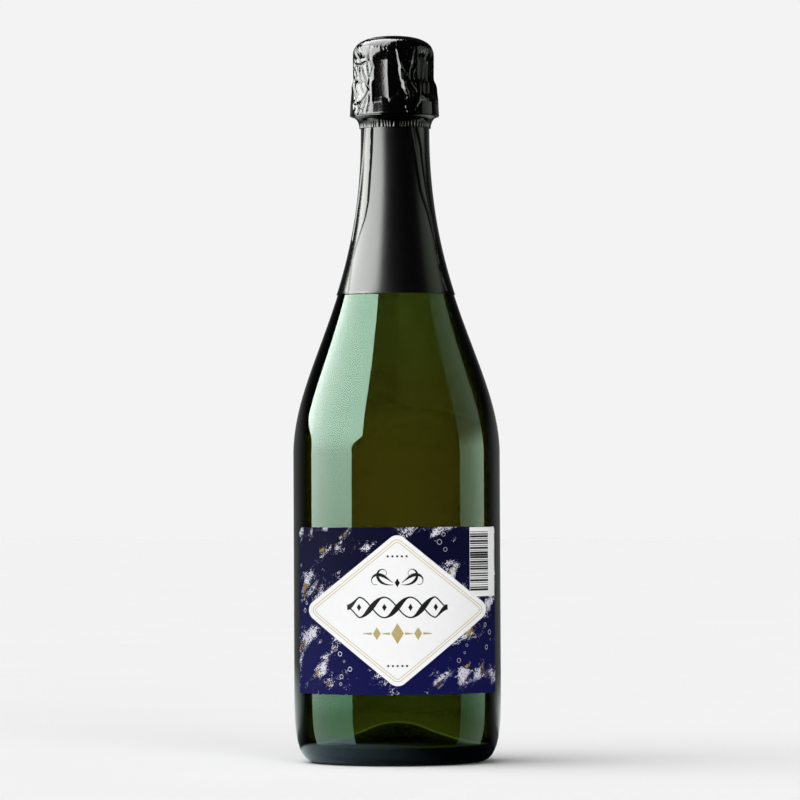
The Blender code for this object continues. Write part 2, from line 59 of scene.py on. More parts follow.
class Body(Enum):
    """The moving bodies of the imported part."""

    BOTTLE = "bottle"
    CORK = "cork"
    CAGE = "wire_cage"
    LOOP = "wire_loop"
    HOOD = "foil_hood"
    STRIP = "tear_strip"


class Slot(Enum):
    """The record's material slots."""

    GLASS = "bottle_glass"
    WINE = "wine"
    PRESSED_CORK = "pressed_cork"
    NATURAL_CORK = "natural_cork"
    STEEL = "steel_wire"
    CAP = "cap_metal"
    FOIL = "black_foil"
    PAPER = "label_paper"


# Node trees


class Field:
    """A number that varies over a piece, combined with plain arithmetic."""

    def __init__(self, tree: "Tree", socket: bpy.types.NodeSocket) -> None:
        """Keep the tree that the number lives in and the socket that gives it."""
        self.tree = tree
        self.socket = socket

    def join(self, operation: str, *others: object, clamp: bool = False) -> "Field":
        """Combine this number with others.

        Args:
            operation: the name of a math node's operation.
            others: the other numbers, as fields, sockets or plain numbers.
            clamp: keep the result from 0 to 1.

        Returns:
            The combined number.
        """
        node = self.tree.add("ShaderNodeMath", operation=operation, use_clamp=clamp)
        for index, value in enumerate((self, *others)):
            self.tree.feed(node.inputs[index], value)
        return Field(self.tree, node.outputs[0])

    def __add__(self, other: object) -> "Field":
        """Add."""
        return self.join("ADD", other)

    def __sub__(self, other: object) -> "Field":
        """Take away."""
        return self.join("SUBTRACT", other)

    def __mul__(self, other: object) -> "Field":
        """Multiply."""
        return self.join("MULTIPLY", other)

    def __truediv__(self, other: object) -> "Field":
        """Divide."""
        return self.join("DIVIDE", other)

    def away(self, other: object = 0.0) -> "Field":
        """How far this number is from another, without sign."""
        return (self - other).join("ABSOLUTE")

    def rest(self) -> "Field":
        """What is missing to 1."""
        return self * -1.0 + 1.0

    def least(self, other: object) -> "Field":
        """The smaller of two numbers."""
        return self.join("MINIMUM", other)

    def most(self, other: object) -> "Field":
        """The larger of two numbers."""
        return self.join("MAXIMUM", other)

    def ease(self, low: float, high: float, to_low: float = 0.0, to_high: float = 1.0) -> "Field":
        """Pass smoothly from one value to another as this number goes from low to high.

        Args:
            low: where the change starts.
            high: where it ends.
            to_low: the value up to low.
            to_high: the value from high on.

        Returns:
            The eased number.
        """
        node = self.tree.add("ShaderNodeMapRange", interpolation_type="SMOOTHSTEP")
        for index, value in enumerate((self, low, high, to_low, to_high)):
            self.tree.feed(node.inputs[index], value)
        return Field(self.tree, node.outputs[0])


class Tree:
    """Short calls that add and join nodes, for materials and for geometry alike."""

    def __init__(self, tree: bpy.types.NodeTree) -> None:
        """Keep the node tree to add to."""
        self.tree = tree

    def add(self, kind: str, inputs: dict | None = None, **settings: object) -> bpy.types.Node:
        """Add a node.

        Args:
            kind: the node's type name.
            inputs: values or sockets for its inputs, by name or number.
            settings: properties of the node itself.

        Returns:
            The new node.
        """
        node = self.tree.nodes.new(kind)
        for name, value in settings.items():
            setattr(node, name, value)
        for name, value in (inputs or {}).items():
            self.feed(node.inputs[name], value)
        return node

    def feed(self, socket: bpy.types.NodeSocket, value: object) -> None:
        """Join a socket to an input, or write a plain value into it."""
        source = value.socket if isinstance(value, Field) else value
        if isinstance(source, bpy.types.NodeSocket):
            self.tree.links.new(source, socket)
        else:
            socket.default_value = source

    def wire(self, node: bpy.types.Node, **inputs: object) -> None:
        """Feed a node's inputs by name, with _ for the spaces in their names."""
        for name, value in inputs.items():
            self.feed(node.inputs[name.replace("_", " ")], value)

    def split(self, vector: object) -> list[Field]:
        """The x, y and z of a vector."""
        return [Field(self, part) for part in self.add("ShaderNodeSeparateXYZ", {0: vector}).outputs]

    def vector(self, x: object = 0.0, y: object = 0.0, z: object = 0.0) -> object:
        """A vector from three numbers."""
        return self.add("ShaderNodeCombineXYZ", {0: x, 1: y, 2: z}).outputs[0]

    def facing(self) -> Field:
        """How far a place is seen edge on, from 0 to 1."""
        return Field(self, self.add("ShaderNodeLayerWeight", {"Blend": 0.5}).outputs["Facing"])

    def blend(self, share: object, first: object, second: object) -> object:
        """Mix two colours.

        Args:
            share: how much of the second colour, from 0 to 1.
            first: the colour at share 0, as a socket or three numbers.
            second: the colour at share 1.

        Returns:
            The socket of the mixed colour.
        """
        node = self.add("ShaderNodeMix", data_type="RGBA", clamp_factor=True)
        for index, value in ((0, share), (6, first), (7, second)):
            self.feed(node.inputs[index], (*value, 1.0) if isinstance(value, tuple) else value)
        return node.outputs[2]

    def ramp(self, share: object, stops: Sequence[tuple[float, Color]]) -> object:
        """Turn a number into a colour by stops of (place, colour)."""
        node = self.add("ShaderNodeValToRGB", {0: share})
        while len(node.color_ramp.elements) < len(stops):
            node.color_ramp.elements.new(1.0)
        for element, (place, color) in zip(node.color_ramp.elements, stops):
            element.position = place
            element.color = (*color, 1.0)
        return node.outputs[0]

    def places(self, stretch: Color = (1.0, 1.0, 1.0), uv: bool = False) -> object:
        """Coordinates on the piece: its own metres, or its UV map, stretched along each axis."""
        source = self.add("ShaderNodeTexCoord").outputs["UV" if uv else "Object"]
        return self.add("ShaderNodeMapping", {"Vector": source, "Scale": stretch}).outputs[0]

    def noise(self, places: object, scale: float, detail: float = 2.0, **inputs: float) -> Field:
        """Cloudy noise from 0 to 1, with features about 1 / scale across."""
        node = self.add("ShaderNodeTexNoise", {"Vector": places, "Scale": scale, "Detail": detail})
        for name, value in inputs.items():
            node.inputs[name.capitalize()].default_value = value
        return Field(self, node.outputs[0])

    def cells(self, places: object, scale: float, feature: str = "F1") -> bpy.types.Node:
        """A pattern of cells about 1 / scale across."""
        return self.add("ShaderNodeTexVoronoi", {"Vector": places, "Scale": scale}, feature=feature)

    def joints(self, places: object, scale: float, width: float) -> Field:
        """0 on the joints between cells, rising to 1 at a width from them."""
        cells = self.cells(places, scale, "DISTANCE_TO_EDGE")
        return Field(self, cells.outputs["Distance"]).ease(0.0, width)

    def bump(self, height: object, depth: float, strength: float = 1.0) -> object:
        """Raise the surface by a height from 0 to 1 times a depth in metres, at a strength."""
        node = self.add("ShaderNodeBump", {"Strength": strength, "Distance": depth, "Height": height})
        return node.outputs[0]


def length_of(x: Field, y: Field) -> Field:
    """The length of the line to a place (x, y)."""
    return (x * x + y * y).join("SQRT")


def new_material(name: str, **sockets: object) -> tuple[bpy.types.Material, Tree, bpy.types.Node]:
    """Start a material with a Principled shader.

    Args:
        name: the material's name.
        sockets: values for the shader's own sockets, with _ for the spaces in their names.

    Returns:
        The material, its tree and its shader.
    """
    material = bpy.data.materials.new(name)
    material.use_nodes = True
    shader = material.node_tree.nodes["Principled BSDF"]
    for key, value in sockets.items():
        socket = shader.inputs[key.replace("_", " ")]
        socket.default_value = (*value, 1.0) if isinstance(value, tuple) else value
    return material, Tree(material.node_tree), shader


def fill_with(tree: Tree, color: Color, density: float) -> None:
    """Let a material's inside take colour from light, by the length of its way through."""
    inside = tree.add("ShaderNodeVolumeAbsorption", {"Color": (*color, 1.0), "Density": density})
    tree.wire(tree.tree.nodes["Material Output"], Volume=inside.outputs[0])


# Finishes


@dataclass(frozen=True)
class BottleGlass:
    """Dark olive green bottle glass, which takes its colour from its depth, with painted shade towards its
    foot and above its shoulder and a painted glow at the punt.
    """

    absorbed: Color = (0.41, 0.42, 0.005)
    density: float = 410.0
    # painted shade tints: darker above the shoulder, and darker and greener at the foot
    shoulder_shade: Color = (0.76, 0.94, 0.90)
    deep: Color = (0.68, 0.86, 0.7)
    glance: Color = (0.62, 1.0, 0.79)
    low_glance: Color = (0.40, 1.0, 0.62)
    foot_glance: Color = (0.62, 0.86, 1.0)
    # painted glow: the green light and its strength that the glass gives off along the punt's arch, though it
    # is no lamp
    painted_glow: Color = (0.62, 1.0, 0.42)
    painted_glow_strength: float = 0.5
    punt_radius: float = 0.029
    ior: float = 1.52
    ripple: float = 0.00004

    def build(self) -> bpy.types.Material:
        """Make the glass: clear inside, darker where it is seen edge on, faintly rippled, with painted shade
        towards the foot and above the shoulder and a painted glow along the punt's arch.
        """
        material, tree, shader = new_material(
            "bottle_glass", Roughness=0.0, IOR=self.ior, Transmission_Weight=1.0, Emission_Color=self.painted_glow)
        places, facing = tree.places(), tree.facing()
        x, y, up = tree.split(places)
        # painted shade: by height alone the glass's tint turns darker above the shoulder and darker and
        # greener towards the foot
        tint = tree.blend(up.ease(0.12, 0.20), (1.0, 1.0, 1.0), self.shoulder_shade)
        tint = tree.blend(up.ease(0.02, 0.07), self.deep, tint)
        glance = tree.blend(up.ease(0.03, 0.10), self.low_glance, self.glance)
        glance = tree.blend(up.ease(0.009, 0.015), self.foot_glance, glance)
        punt = length_of(x, y).ease(self.punt_radius, self.punt_radius + 0.002, 1.0, 0.0)
        # painted glow: within the punt's radius, in a band of height on its steep inside and where seen edge
        # on, the glass gives off green light as a painted highlight of the punt's arch
        edge = facing.ease(0.76, 0.93) * punt * up.ease(0.0065, 0.0085) * up.ease(0.020, 0.024, 1.0, 0.0)
        waves = tree.noise(places, 38.0, 1.0) * 0.7 + tree.noise(places, 160.0, 2.0) * 0.3
        tree.wire(shader, Base_Color=tree.blend(facing.ease(0.28, 0.62), tint, (0.0, 0.0, 0.0)),
                  Specular_Tint=glance, Emission_Strength=edge * self.painted_glow_strength,
                  Normal=tree.bump(waves, self.ripple, 0.35))
        fill_with(tree, self.absorbed, self.density)
        return material


@dataclass(frozen=True)
class WineFinish:
    """Pale golden wine."""

    absorbed: Color = (0.92, 0.80, 0.25)
    density: float = 9.0
    ior: float = 1.345

    def build(self) -> bpy.types.Material:
        """Make the wine: clear, tinted by its depth, with the faint unevenness of rising gas."""
        material, tree, shader = new_material(
            "wine", Base_Color=(1.0, 1.0, 1.0), Roughness=0.0, IOR=self.ior, Transmission_Weight=1.0)
        streams = tree.noise(tree.places((1.0, 1.0, 0.15)), 900.0, 2.0)
        tree.wire(shader, Normal=tree.bump(streams, 0.000004, 0.1))
        fill_with(tree, self.absorbed, self.density)
        return material


class FoilKind(Enum):
    """How worked a piece of foil is: (name, gloss, crinkle depth)."""

    HOOD = ("black_foil_hood", 0.13, 0.000014)
    TOP = ("black_foil_top", 0.14, 0.000018)
    STRIP = ("black_foil_strip", 0.14, 0.00004)
    SLEEVE = ("black_foil_sleeve", 0.29, 0.000012)


@dataclass(frozen=True)
class BlackFoil:
    """Black lacquered foil with fine crinkles."""

    kind: FoilKind
    lacquer: Color = (0.0008, 0.0008, 0.0009)
    worn: Color = (0.006, 0.006, 0.0063)

    def build(self) -> bpy.types.Material:
        """Make the foil: glossy lacquer, crinkled by handling, a little dulled on its ridges."""
        name, gloss, depth = self.kind.value
        material, tree, shader = new_material(name, IOR=1.52)
        places, upright = tree.places(), tree.places((1.0, 1.0, 0.3))
        soft = tree.noise(upright, 300.0, 3.0)
        crinkles = tree.joints(upright, 420.0, 0.12) * 0.35 + soft * 0.5
        height = crinkles + tree.noise(places, 2600.0, 3.0) * 0.15
        rubbed = (tree.noise(places, 900.0, 4.0) + tree.noise(places, 90.0) * 0.5).ease(0.92, 1.15)
        glance = tree.facing().ease(0.25, 0.75, 1.0, 0.45)
        tree.wire(shader, Base_Color=tree.blend(rubbed * 0.5, self.lacquer, self.worn),
                  Roughness=glance * gloss + rubbed * 0.12 + soft * 0.05 - 0.025,
                  Normal=tree.bump(height, depth, 0.8))
        return material


@dataclass(frozen=True)
class SteelWire:
    """Bright drawn steel wire."""

    steel: Color = (0.56, 0.56, 0.55)
    dull: Color = (0.30, 0.30, 0.29)

    def build(self) -> bpy.types.Material:
        """Make the wire: metal with drawing lines and dull patches."""
        material, tree, shader = new_material("steel_wire", Metallic=1.0)
        patches = tree.noise(tree.places(), 700.0, 4.0).ease(0.42, 0.68)
        lines = tree.noise(tree.places((1.0, 1.0, 0.05)), 6000.0, 2.0)
        tree.wire(shader, Base_Color=tree.blend(patches, self.steel, self.dull),
                  Roughness=patches * 0.18 + lines * 0.1 + 0.18, Normal=tree.bump(lines, 0.00001, 0.5))
        return material


@dataclass(frozen=True)
class CapMetal:
    """Black enamelled tinplate with a plain gold ring, bare at its worn rim."""

    enamel: Color = (0.012, 0.012, 0.014)
    gold: Color = (0.55, 0.38, 0.13)
    tin: Color = (0.62, 0.62, 0.60)
    ring_radius: float = 0.0085
    rim_radius: float = 0.0137

    def build(self) -> bpy.types.Material:
        """Make the cap: enamel, the gold ring on its bead, and the metal under it at the rim."""
        material, tree, shader = new_material("cap_metal", IOR=1.5)
        places = tree.places()
        out = length_of(*tree.split(places)[:2])
        scuffs = tree.noise(places, 1500.0, 4.0)
        ring = out.away(self.ring_radius).ease(0.0008, 0.0010, 1.0, 0.0)
        bare = (out + scuffs * 0.0012).ease(self.rim_radius + 0.0002, self.rim_radius + 0.0006)
        color = tree.blend(ring, self.enamel, self.gold)
        tree.wire(shader, Base_Color=tree.blend(bare, color, self.tin), Metallic=(ring + bare).least(1.0),
                  Roughness=scuffs * 0.25 + 0.12, Normal=tree.bump(scuffs, 0.00002, 0.5))
        return material


@dataclass(frozen=True)
class PressedCork:
    """Cork granules glued under pressure."""

    stops: tuple = ((0.0, (0.19, 0.095, 0.04)), (0.35, (0.40, 0.23, 0.11)),
                    (0.7, (0.52, 0.33, 0.17)), (1.0, (0.64, 0.45, 0.26)))
    glue: Color = (0.16, 0.085, 0.04)
    pit: Color = (0.05, 0.025, 0.012)
    granules: float = 560.0

    def build(self) -> bpy.types.Material:
        """Make the cork: granules of unlike browns, with dark joints and small pits."""
        material, tree, shader = new_material("pressed_cork", IOR=1.45, Roughness=0.75)
        places = tree.places()
        bent = tree.add("ShaderNodeVectorMath", {
            0: places, 1: tree.noise(places, 1400.0, 3.0), 2: tree.noise(places, 900.0, 3.0) * 0.0012},
            operation="MULTIPLY_ADD").outputs[0]
        joint = tree.joints(bent, self.granules, 0.10)
        shade = tree.cells(bent, self.granules).outputs["Color"]
        tone = Field(tree, tree.add("ShaderNodeSeparateColor", {0: shade}).outputs[0])
        fine = tree.noise(places, 4200.0, 3.0)
        pits = tree.noise(places, 2100.0, 2.0).ease(0.64, 0.72)
        color = tree.blend(joint, self.glue, tree.ramp(tone * 0.75 + fine * 0.25, self.stops))
        height = joint * 0.4 + tone * 0.3 + fine * 0.3 - pits * 0.5
        tree.wire(shader, Base_Color=tree.blend(pits * 0.8, color, self.pit),
                  Normal=tree.bump(height, 0.00014, 0.9))
        return material


@dataclass(frozen=True)
class NaturalCork:
    """A disc cut from the bark, with its growth lines and pores."""

    pale: Color = (0.60, 0.41, 0.23)
    brown: Color = (0.44, 0.27, 0.13)
    pore: Color = (0.07, 0.035, 0.018)

    def build(self) -> bpy.types.Material:
        """Make the cork: straight growth lines across the disc, and dark narrow pores."""
        material, tree, shader = new_material("natural_cork", IOR=1.45, Roughness=0.7)
        growth = tree.noise(tree.places((1.0, 0.12, 0.12)), 900.0, 3.0)
        fine = tree.noise(tree.places(), 3800.0, 3.0)
        pores = tree.noise(tree.places((0.35, 1.0, 1.0)), 1500.0, 2.0).ease(0.66, 0.73)
        wood = tree.blend((growth * 0.7 + fine * 0.3).ease(0.3, 0.7), self.pale, self.brown)
        height = growth * 0.3 + fine * 0.4 - pores * 0.7
        tree.wire(shader, Base_Color=tree.blend(pores, wood, self.pore),
                  Normal=tree.bump(height, 0.00012, 0.9))
        return material


@dataclass(frozen=True)
class LabelPaper:
    """Linen-textured paper printed navy, with speckled silver and gold drifts and a white lozenge.

    Its sizes are in millimetres.
    """

    width: float = 107.3
    height: float = 71.0
    face: float = 45.0
    lozenge: tuple[float, float] = (37.8, 31.9)
    lozenge_center: tuple[float, float] = (0.1, 0.2)
    corner: float = 4.6
    border_depths: tuple[float, float] = (1.9, 2.9)
    border_half: float = 0.16
    soft: float = 0.06
    thread: float = 0.42
    navy_top: Color = (0.0035, 0.0038, 0.022)
    navy_foot: Color = (0.0065, 0.0068, 0.066)
    white: Color = (0.90, 0.90, 0.90)
    silver: Color = (0.68, 0.68, 0.76)
    gold_print: Color = (0.38, 0.27, 0.09)
    gold_line: Color = (0.62, 0.52, 0.26)

    def rim(self, x: Field, y: Field) -> Field:
        """How far a place is outside the lozenge's rounded edge; below zero inside it.

        Args:
            x: millimetres across from the lozenge's middle.
            y: millimetres up from it.

        Returns:
            The distance in millimetres.
        """
        half_width, half_height = (side - self.corner for side in self.lozenge)
        across, up = x.away(), y.away()
        length = half_width ** 2 + half_height ** 2
        along = ((across - half_width) * -half_width + up * half_height).join("DIVIDE", length, clamp=True)
        gap = length_of(across - (along * -half_width + half_width), up - along * half_height)
        side = (across * half_height + up * half_width - half_width * half_height).join("SIGN")
        return gap * side - self.corner

    def drifts(self, tree: Tree, x: Field, y: Field) -> tuple[Field, Field]:
        """Where the speckled silver and the speckled gold lie.

        Args:
            tree: the material's tree.
            x: millimetres across from the label's middle.
            y: millimetres up from it.

        Returns:
            The silver's and the gold's share at each place.
        """
        along, across = x * 0.80 + y * 0.60, y * 0.80 - x * 0.60
        drifting = tree.vector(along * 0.62, across * 1.1)
        density = tree.noise(drifting, 0.088, 5.0, roughness=0.6).ease(0.485, 0.65)
        dots = Field(tree, tree.cells(tree.vector(x, y), 2.1).outputs["Distance"])
        grains = (density * 0.72 - dots).ease(-0.07, 0.07) * density.ease(0.02, 0.12)
        gilded = tree.noise(drifting, 0.21, 2.0).ease(0.56, 0.62) * density.ease(0.05, 0.3)
        return grains * gilded.rest(), grains * gilded

    def build(self) -> bpy.types.Material:
        """Make the printed paper, read on the label's UV map."""
        material, tree, shader = new_material("label_paper", IOR=1.45, Specular_IOR_Level=0.02)
        u, v, _ = tree.split(tree.places(uv=True))
        x, y = (u - 0.5) * self.width, (v - 0.5) * self.height
        silver, gold = self.drifts(tree, x, y)
        seen = (x / self.face).join("SINE") * self.face
        rim = self.rim(seen - self.lozenge_center[0], y - self.lozenge_center[1])
        lines = [rim.away(-depth).ease(self.border_half - self.soft, self.border_half + self.soft, 1.0, 0.0)
                 for depth in self.border_depths]
        lines = lines[0].most(lines[1])
        color = tree.blend(y.ease(-30.0, 30.0), self.navy_foot, self.navy_top)
        lozenge = rim.ease(-self.soft, self.soft, 1.0, 0.0)
        for share, print_color in ((silver, self.silver), (gold, self.gold_print), (lozenge, self.white),
                                   (lines, self.gold_line)):
            color = tree.blend(share, color, print_color)
        weave = (y * (2.0 * math.pi / self.thread)).join("SINE") * 0.5 + 0.5
        linen = weave * 0.55 + tree.noise(tree.vector(x * 0.35, y * 2.4), 1.0, 2.0) * 0.45
        tree.wire(shader, Base_Color=tree.blend(linen.ease(0.1, 0.9, 0.10, 0.0), color, (0.0, 0.0, 0.0)),
                  Roughness=(silver + gold + lines).least(1.0) * -0.14 + 0.66,
                  Normal=tree.bump(linen, 0.00003, 0.6))
        return material


@dataclass(frozen=True)
class Ink:
    """A flat printed ink with the paper's linen under it."""

    name: str
    color: Color
    roughness: float = 0.5
    metallic: float = 0.0

    def build(self) -> bpy.types.Material:
        """Make the ink."""
        material, tree, shader = new_material(self.name, Metallic=self.metallic, Specular_IOR_Level=0.1)
        weave = tree.noise(tree.places((0.15, 0.15, 1.0)), 2400.0, 2.0)
        shade = tuple(channel * 0.82 for channel in self.color)
        tree.wire(shader, Base_Color=tree.blend(weave, shade, self.color),
                  Roughness=weave * 0.15 + (self.roughness - 0.07), Normal=tree.bump(weave, 0.00002, 0.5))
        return material


# Geometry trees


class Shaper(Tree):
    """A geometry tree with named sizes and a material, which ends in Realize Instances and Set Material."""

    def __init__(self, name: str, **sizes: str) -> None:
        """Start the tree.

        Args:
            name: the tree's name.
            sizes: the kind of each named size, Int or Float, with _ for the spaces in the names.
        """
        super().__init__(bpy.data.node_groups.new(name, "GeometryNodeTree"))
        named = [(size.replace("_", " "), kind) for size, kind in sizes.items()]
        for size, kind in (("Geometry", "Geometry"), *named, ("Material", "Material")):
            self.tree.interface.new_socket(size, in_out="INPUT", socket_type=f"NodeSocket{kind}")
        self.tree.interface.new_socket("Geometry", in_out="OUTPUT", socket_type="NodeSocketGeometry")
        self.sizes = self.add("NodeGroupInput").outputs
        self.place = self.add("GeometryNodeInputPosition").outputs[0]

    def move(self, shape: object, place: object) -> object:
        """Move every point of a shape to a place worked out for it."""
        return self.add("GeometryNodeSetPosition", {"Geometry": shape, "Position": place}).outputs[0]

    def circle(self, sides: object, radius: object) -> object:
        """A circle as a curve."""
        node = self.add("GeometryNodeCurvePrimitiveCircle", {"Resolution": sides, "Radius": radius})
        return node.outputs[0]

    def chance(self, **limits: float) -> Field:
        """A random number for each instance, from the tree's seed."""
        node = self.add("FunctionNodeRandomValue", {"Seed": self.sizes["Seed"]}, data_type="FLOAT")
        for name, limit in limits.items():
            self.feed(live(node.inputs, name), limit)
        return Field(self, live(node.outputs))

    def spread(self, places: object, shape: object, scale: object) -> object:
        """Put a shape at every point, each at its own scale, as plain mesh."""
        copies = self.add("GeometryNodeInstanceOnPoints", {
            "Points": places, "Instance": shape, "Scale": scale})
        return self.add("GeometryNodeRealizeInstances", {0: copies.outputs[0]}).outputs[0]

    def wrapped(self, shape: object) -> object:
        """Bend a flat print (across, out, up) round the label, to the tree's radius."""
        across, out, up = self.split(self.place)
        turn, out = across / self.sizes["Radius"], out + self.sizes["Radius"]
        return self.move(shape, self.vector(turn.join("SINE") * out, turn.join("COSINE") * out * -1.0, up))

    def finish(self, shape: object) -> bpy.types.NodeTree:
        """End the tree in a shape, realized and dressed, and give its node group."""
        smooth = self.add("GeometryNodeSetShadeSmooth", {"Geometry": shape})
        real = self.add("GeometryNodeRealizeInstances", {0: smooth.outputs[0]})
        dressed = self.add("GeometryNodeSetMaterial", {
            "Geometry": real.outputs[0], "Material": self.sizes["Material"]})
        self.feed(self.add("NodeGroupOutput").inputs[0], dressed.outputs[0])
        return self.tree


def live(sockets: Sequence, name: str | None = None) -> bpy.types.NodeSocket:
    """The socket in use of a name, or else the first in use."""
    return next(socket for socket in sockets if socket.enabled and name in (None, socket.name))


def turned_tree() -> bpy.types.NodeTree:
    """A tree that turns an outline of points (radius, 0, height) about the z axis."""
    tree = Shaper("turned_solid", Sides="Int")
    outline = tree.sizes["Geometry"]
    count = Field(tree, tree.add("GeometryNodeAttributeDomainSize", {0: outline}).outputs["Point Count"])
    grid = tree.add("GeometryNodeMeshGrid", {
        "Size X": 1.0, "Size Y": 1.0, "Vertices X": Field(tree, tree.sizes["Sides"]) + 1.0,
        "Vertices Y": count})
    x, y, _ = tree.split(tree.place)
    number = ((y + 0.5) * (count - 1.0)).join("ROUND")
    sample = tree.add("GeometryNodeSampleIndex", {"Geometry": outline, "Index": number},
                      data_type="FLOAT_VECTOR")
    tree.feed(live(sample.inputs, "Value"), tree.place)
    radius, _, height = tree.split(live(sample.outputs))
    turn = (x + 0.5) * (2.0 * math.pi)
    uv = tree.add("GeometryNodeStoreNamedAttribute", {"Geometry": grid.outputs["Mesh"], "Name": "UVMap"},
                  data_type="FLOAT2", domain="CORNER")
    tree.feed(live(uv.inputs, "Value"), grid.outputs["UV Map"])
    place = tree.vector(turn.join("COSINE") * radius, turn.join("SINE") * radius, height)
    merged = tree.add("GeometryNodeMergeByDistance", {
        "Geometry": tree.move(uv.outputs[0], place), "Distance": MERGE})
    return tree.finish(merged.outputs[0])


def wire_tree() -> bpy.types.NodeTree:
    """A tree that runs a round wire along a path of points."""
    tree = Shaper("wire_along_path", Wire_Radius="Float", Sides="Int")
    path = tree.add("GeometryNodeMeshToCurve", {"Mesh": tree.sizes["Geometry"]})
    rim = tree.circle(tree.sizes["Sides"], tree.sizes["Wire Radius"])
    wire = tree.add("GeometryNodeCurveToMesh", {
        "Curve": path.outputs[0], "Profile Curve": rim, "Fill Caps": True})
    return tree.finish(wire.outputs[0])


def bars_tree() -> bpy.types.NodeTree:
    """A tree that prints a column of level bars of unlike thickness round the label."""
    tree = Shaper("column_of_bars", Bars="Int", Pitch="Float", Bar_Width="Float", Ink="Float",
                  Radius="Float", Seed="Int")
    pitch = Field(tree, tree.sizes["Pitch"])
    places = tree.add("GeometryNodeMeshLine", {
        "Count": tree.sizes["Bars"], "Offset": tree.vector(z=tree.sizes["Pitch"])})
    bar = tree.add("GeometryNodeMeshCube", {
        "Vertices X": 24, "Size": tree.vector(tree.sizes["Bar Width"], tree.sizes["Ink"], pitch * 0.5)})
    thickness = (tree.chance() * 3.0).join("FLOOR") * 0.62 + 0.55
    column = tree.spread(places.outputs[0], bar.outputs[0], tree.vector(1.0, 1.0, thickness))
    return tree.finish(tree.wrapped(column))


def bubbles_tree() -> bpy.types.NodeTree:
    """A tree that prints a small round bubble at each of the points given, round the label."""
    tree = Shaper("printed_bubbles", Bubble_Radius="Float", Line="Float", Radius="Float", Seed="Int")
    ring, line = tree.circle(28, tree.sizes["Bubble Radius"]), tree.circle(6, tree.sizes["Line"])
    bubble = tree.add("GeometryNodeCurveToMesh", {"Curve": ring, "Profile Curve": line})
    upright = tree.add("GeometryNodeTransform", {
        "Geometry": bubble.outputs[0], "Rotation": (math.pi / 2, 0.0, 0.0)})
    size = tree.chance(Min=0.35, Max=1.3)
    spread = tree.spread(tree.sizes["Geometry"], upright.outputs[0], tree.vector(size, 0.25, size))
    return tree.finish(tree.wrapped(spread))


# Meshes


def mesh_of(name: str, points: Sequence, edges: Sequence = (), faces: Sequence = ()) -> bpy.types.Mesh:
    """A mesh from plain lists of points, edges and faces."""
    mesh = bpy.data.meshes.new(name)
    mesh.from_pydata([tuple(map(float, point)) for point in points], list(edges), list(faces))
    return mesh


def linked(name: str, data: bpy.types.ID) -> bpy.types.Object:
    """A new object in the scene."""
    piece = bpy.data.objects.new(name, data)
    bpy.context.scene.collection.objects.link(piece)
    return piece


def grow(name: str, tree: bpy.types.NodeTree, start: bpy.types.Mesh, material: bpy.types.Material,
         **sizes: float) -> bpy.types.Object:
    """Run a geometry tree on a start mesh and keep its result as a plain mesh.

    Args:
        name: the piece's name.
        tree: the geometry tree.
        start: the mesh that the tree works from.
        material: the finish.
        sizes: the tree's named sizes, with _ for spaces.

    Returns:
        The new object, with no modifier left on it.
    """
    piece = linked(name, start)
    modifier = piece.modifiers.new("shape", "NODES")
    modifier.node_group = tree
    values = {key.replace("_", " "): value for key, value in sizes.items()} | {"Material": material}
    for socket in tree.interface.items_tree:
        if socket.item_type == "SOCKET" and socket.in_out == "INPUT" and socket.name in values:
            modifier[socket.identifier] = values[socket.name]
    bpy.context.view_layer.update()
    shaped = piece.evaluated_get(bpy.context.evaluated_depsgraph_get())
    mesh = bpy.data.meshes.new_from_object(shaped)
    piece.modifiers.remove(modifier)
    piece.data = mesh
    mesh.name = name
    tidy(mesh, material)
    return piece


def tidy(mesh: bpy.types.Mesh, material: bpy.types.Material, sharp: float = 50.0) -> None:
    """Merge doubles, turn the faces outwards, shade them smooth and give the finish.

    Args:
        mesh: the mesh to tidy.
        material: the finish.
        sharp: the angle in degrees past which an edge stays sharp.
    """
    bm = bmesh.new()
    bm.from_mesh(mesh)
    bmesh.ops.remove_doubles(bm, verts=bm.verts, dist=MERGE)
    bmesh.ops.dissolve_degenerate(bm, edges=bm.edges, dist=MERGE)
    bmesh.ops.recalc_face_normals(bm, faces=bm.faces)
    bm.to_mesh(mesh)
    bm.free()
    mesh.materials.clear()
    mesh.materials.append(material)
    mesh.shade_smooth()
    mesh.set_sharp_from_angle(angle=math.radians(sharp))


def surface(name: str, points: Sequence, faces: Sequence, material: bpy.types.Material,
            uvs: np.ndarray | None = None, sharp: float = 50.0) -> bpy.types.Object:
    """A piece from points and faces.

    Args:
        name: the piece's name.
        points: its corners.
        faces: its faces, as numbers of corners.
        material: the finish.
        uvs: a place on the UV map for each corner.
        sharp: the angle in degrees past which an edge stays sharp.

    Returns:
        The new object.
    """
    mesh = mesh_of(name, points, faces=faces)
    if uvs is not None:
        layer = mesh.uv_layers.new(name="UVMap")
        corners = np.empty(len(mesh.loops), int)
        mesh.loops.foreach_get("vertex_index", corners)
        layer.data.foreach_set("uv", np.asarray(uvs, np.float32)[corners].ravel())
    tidy(mesh, material, sharp)
    return linked(name, mesh)


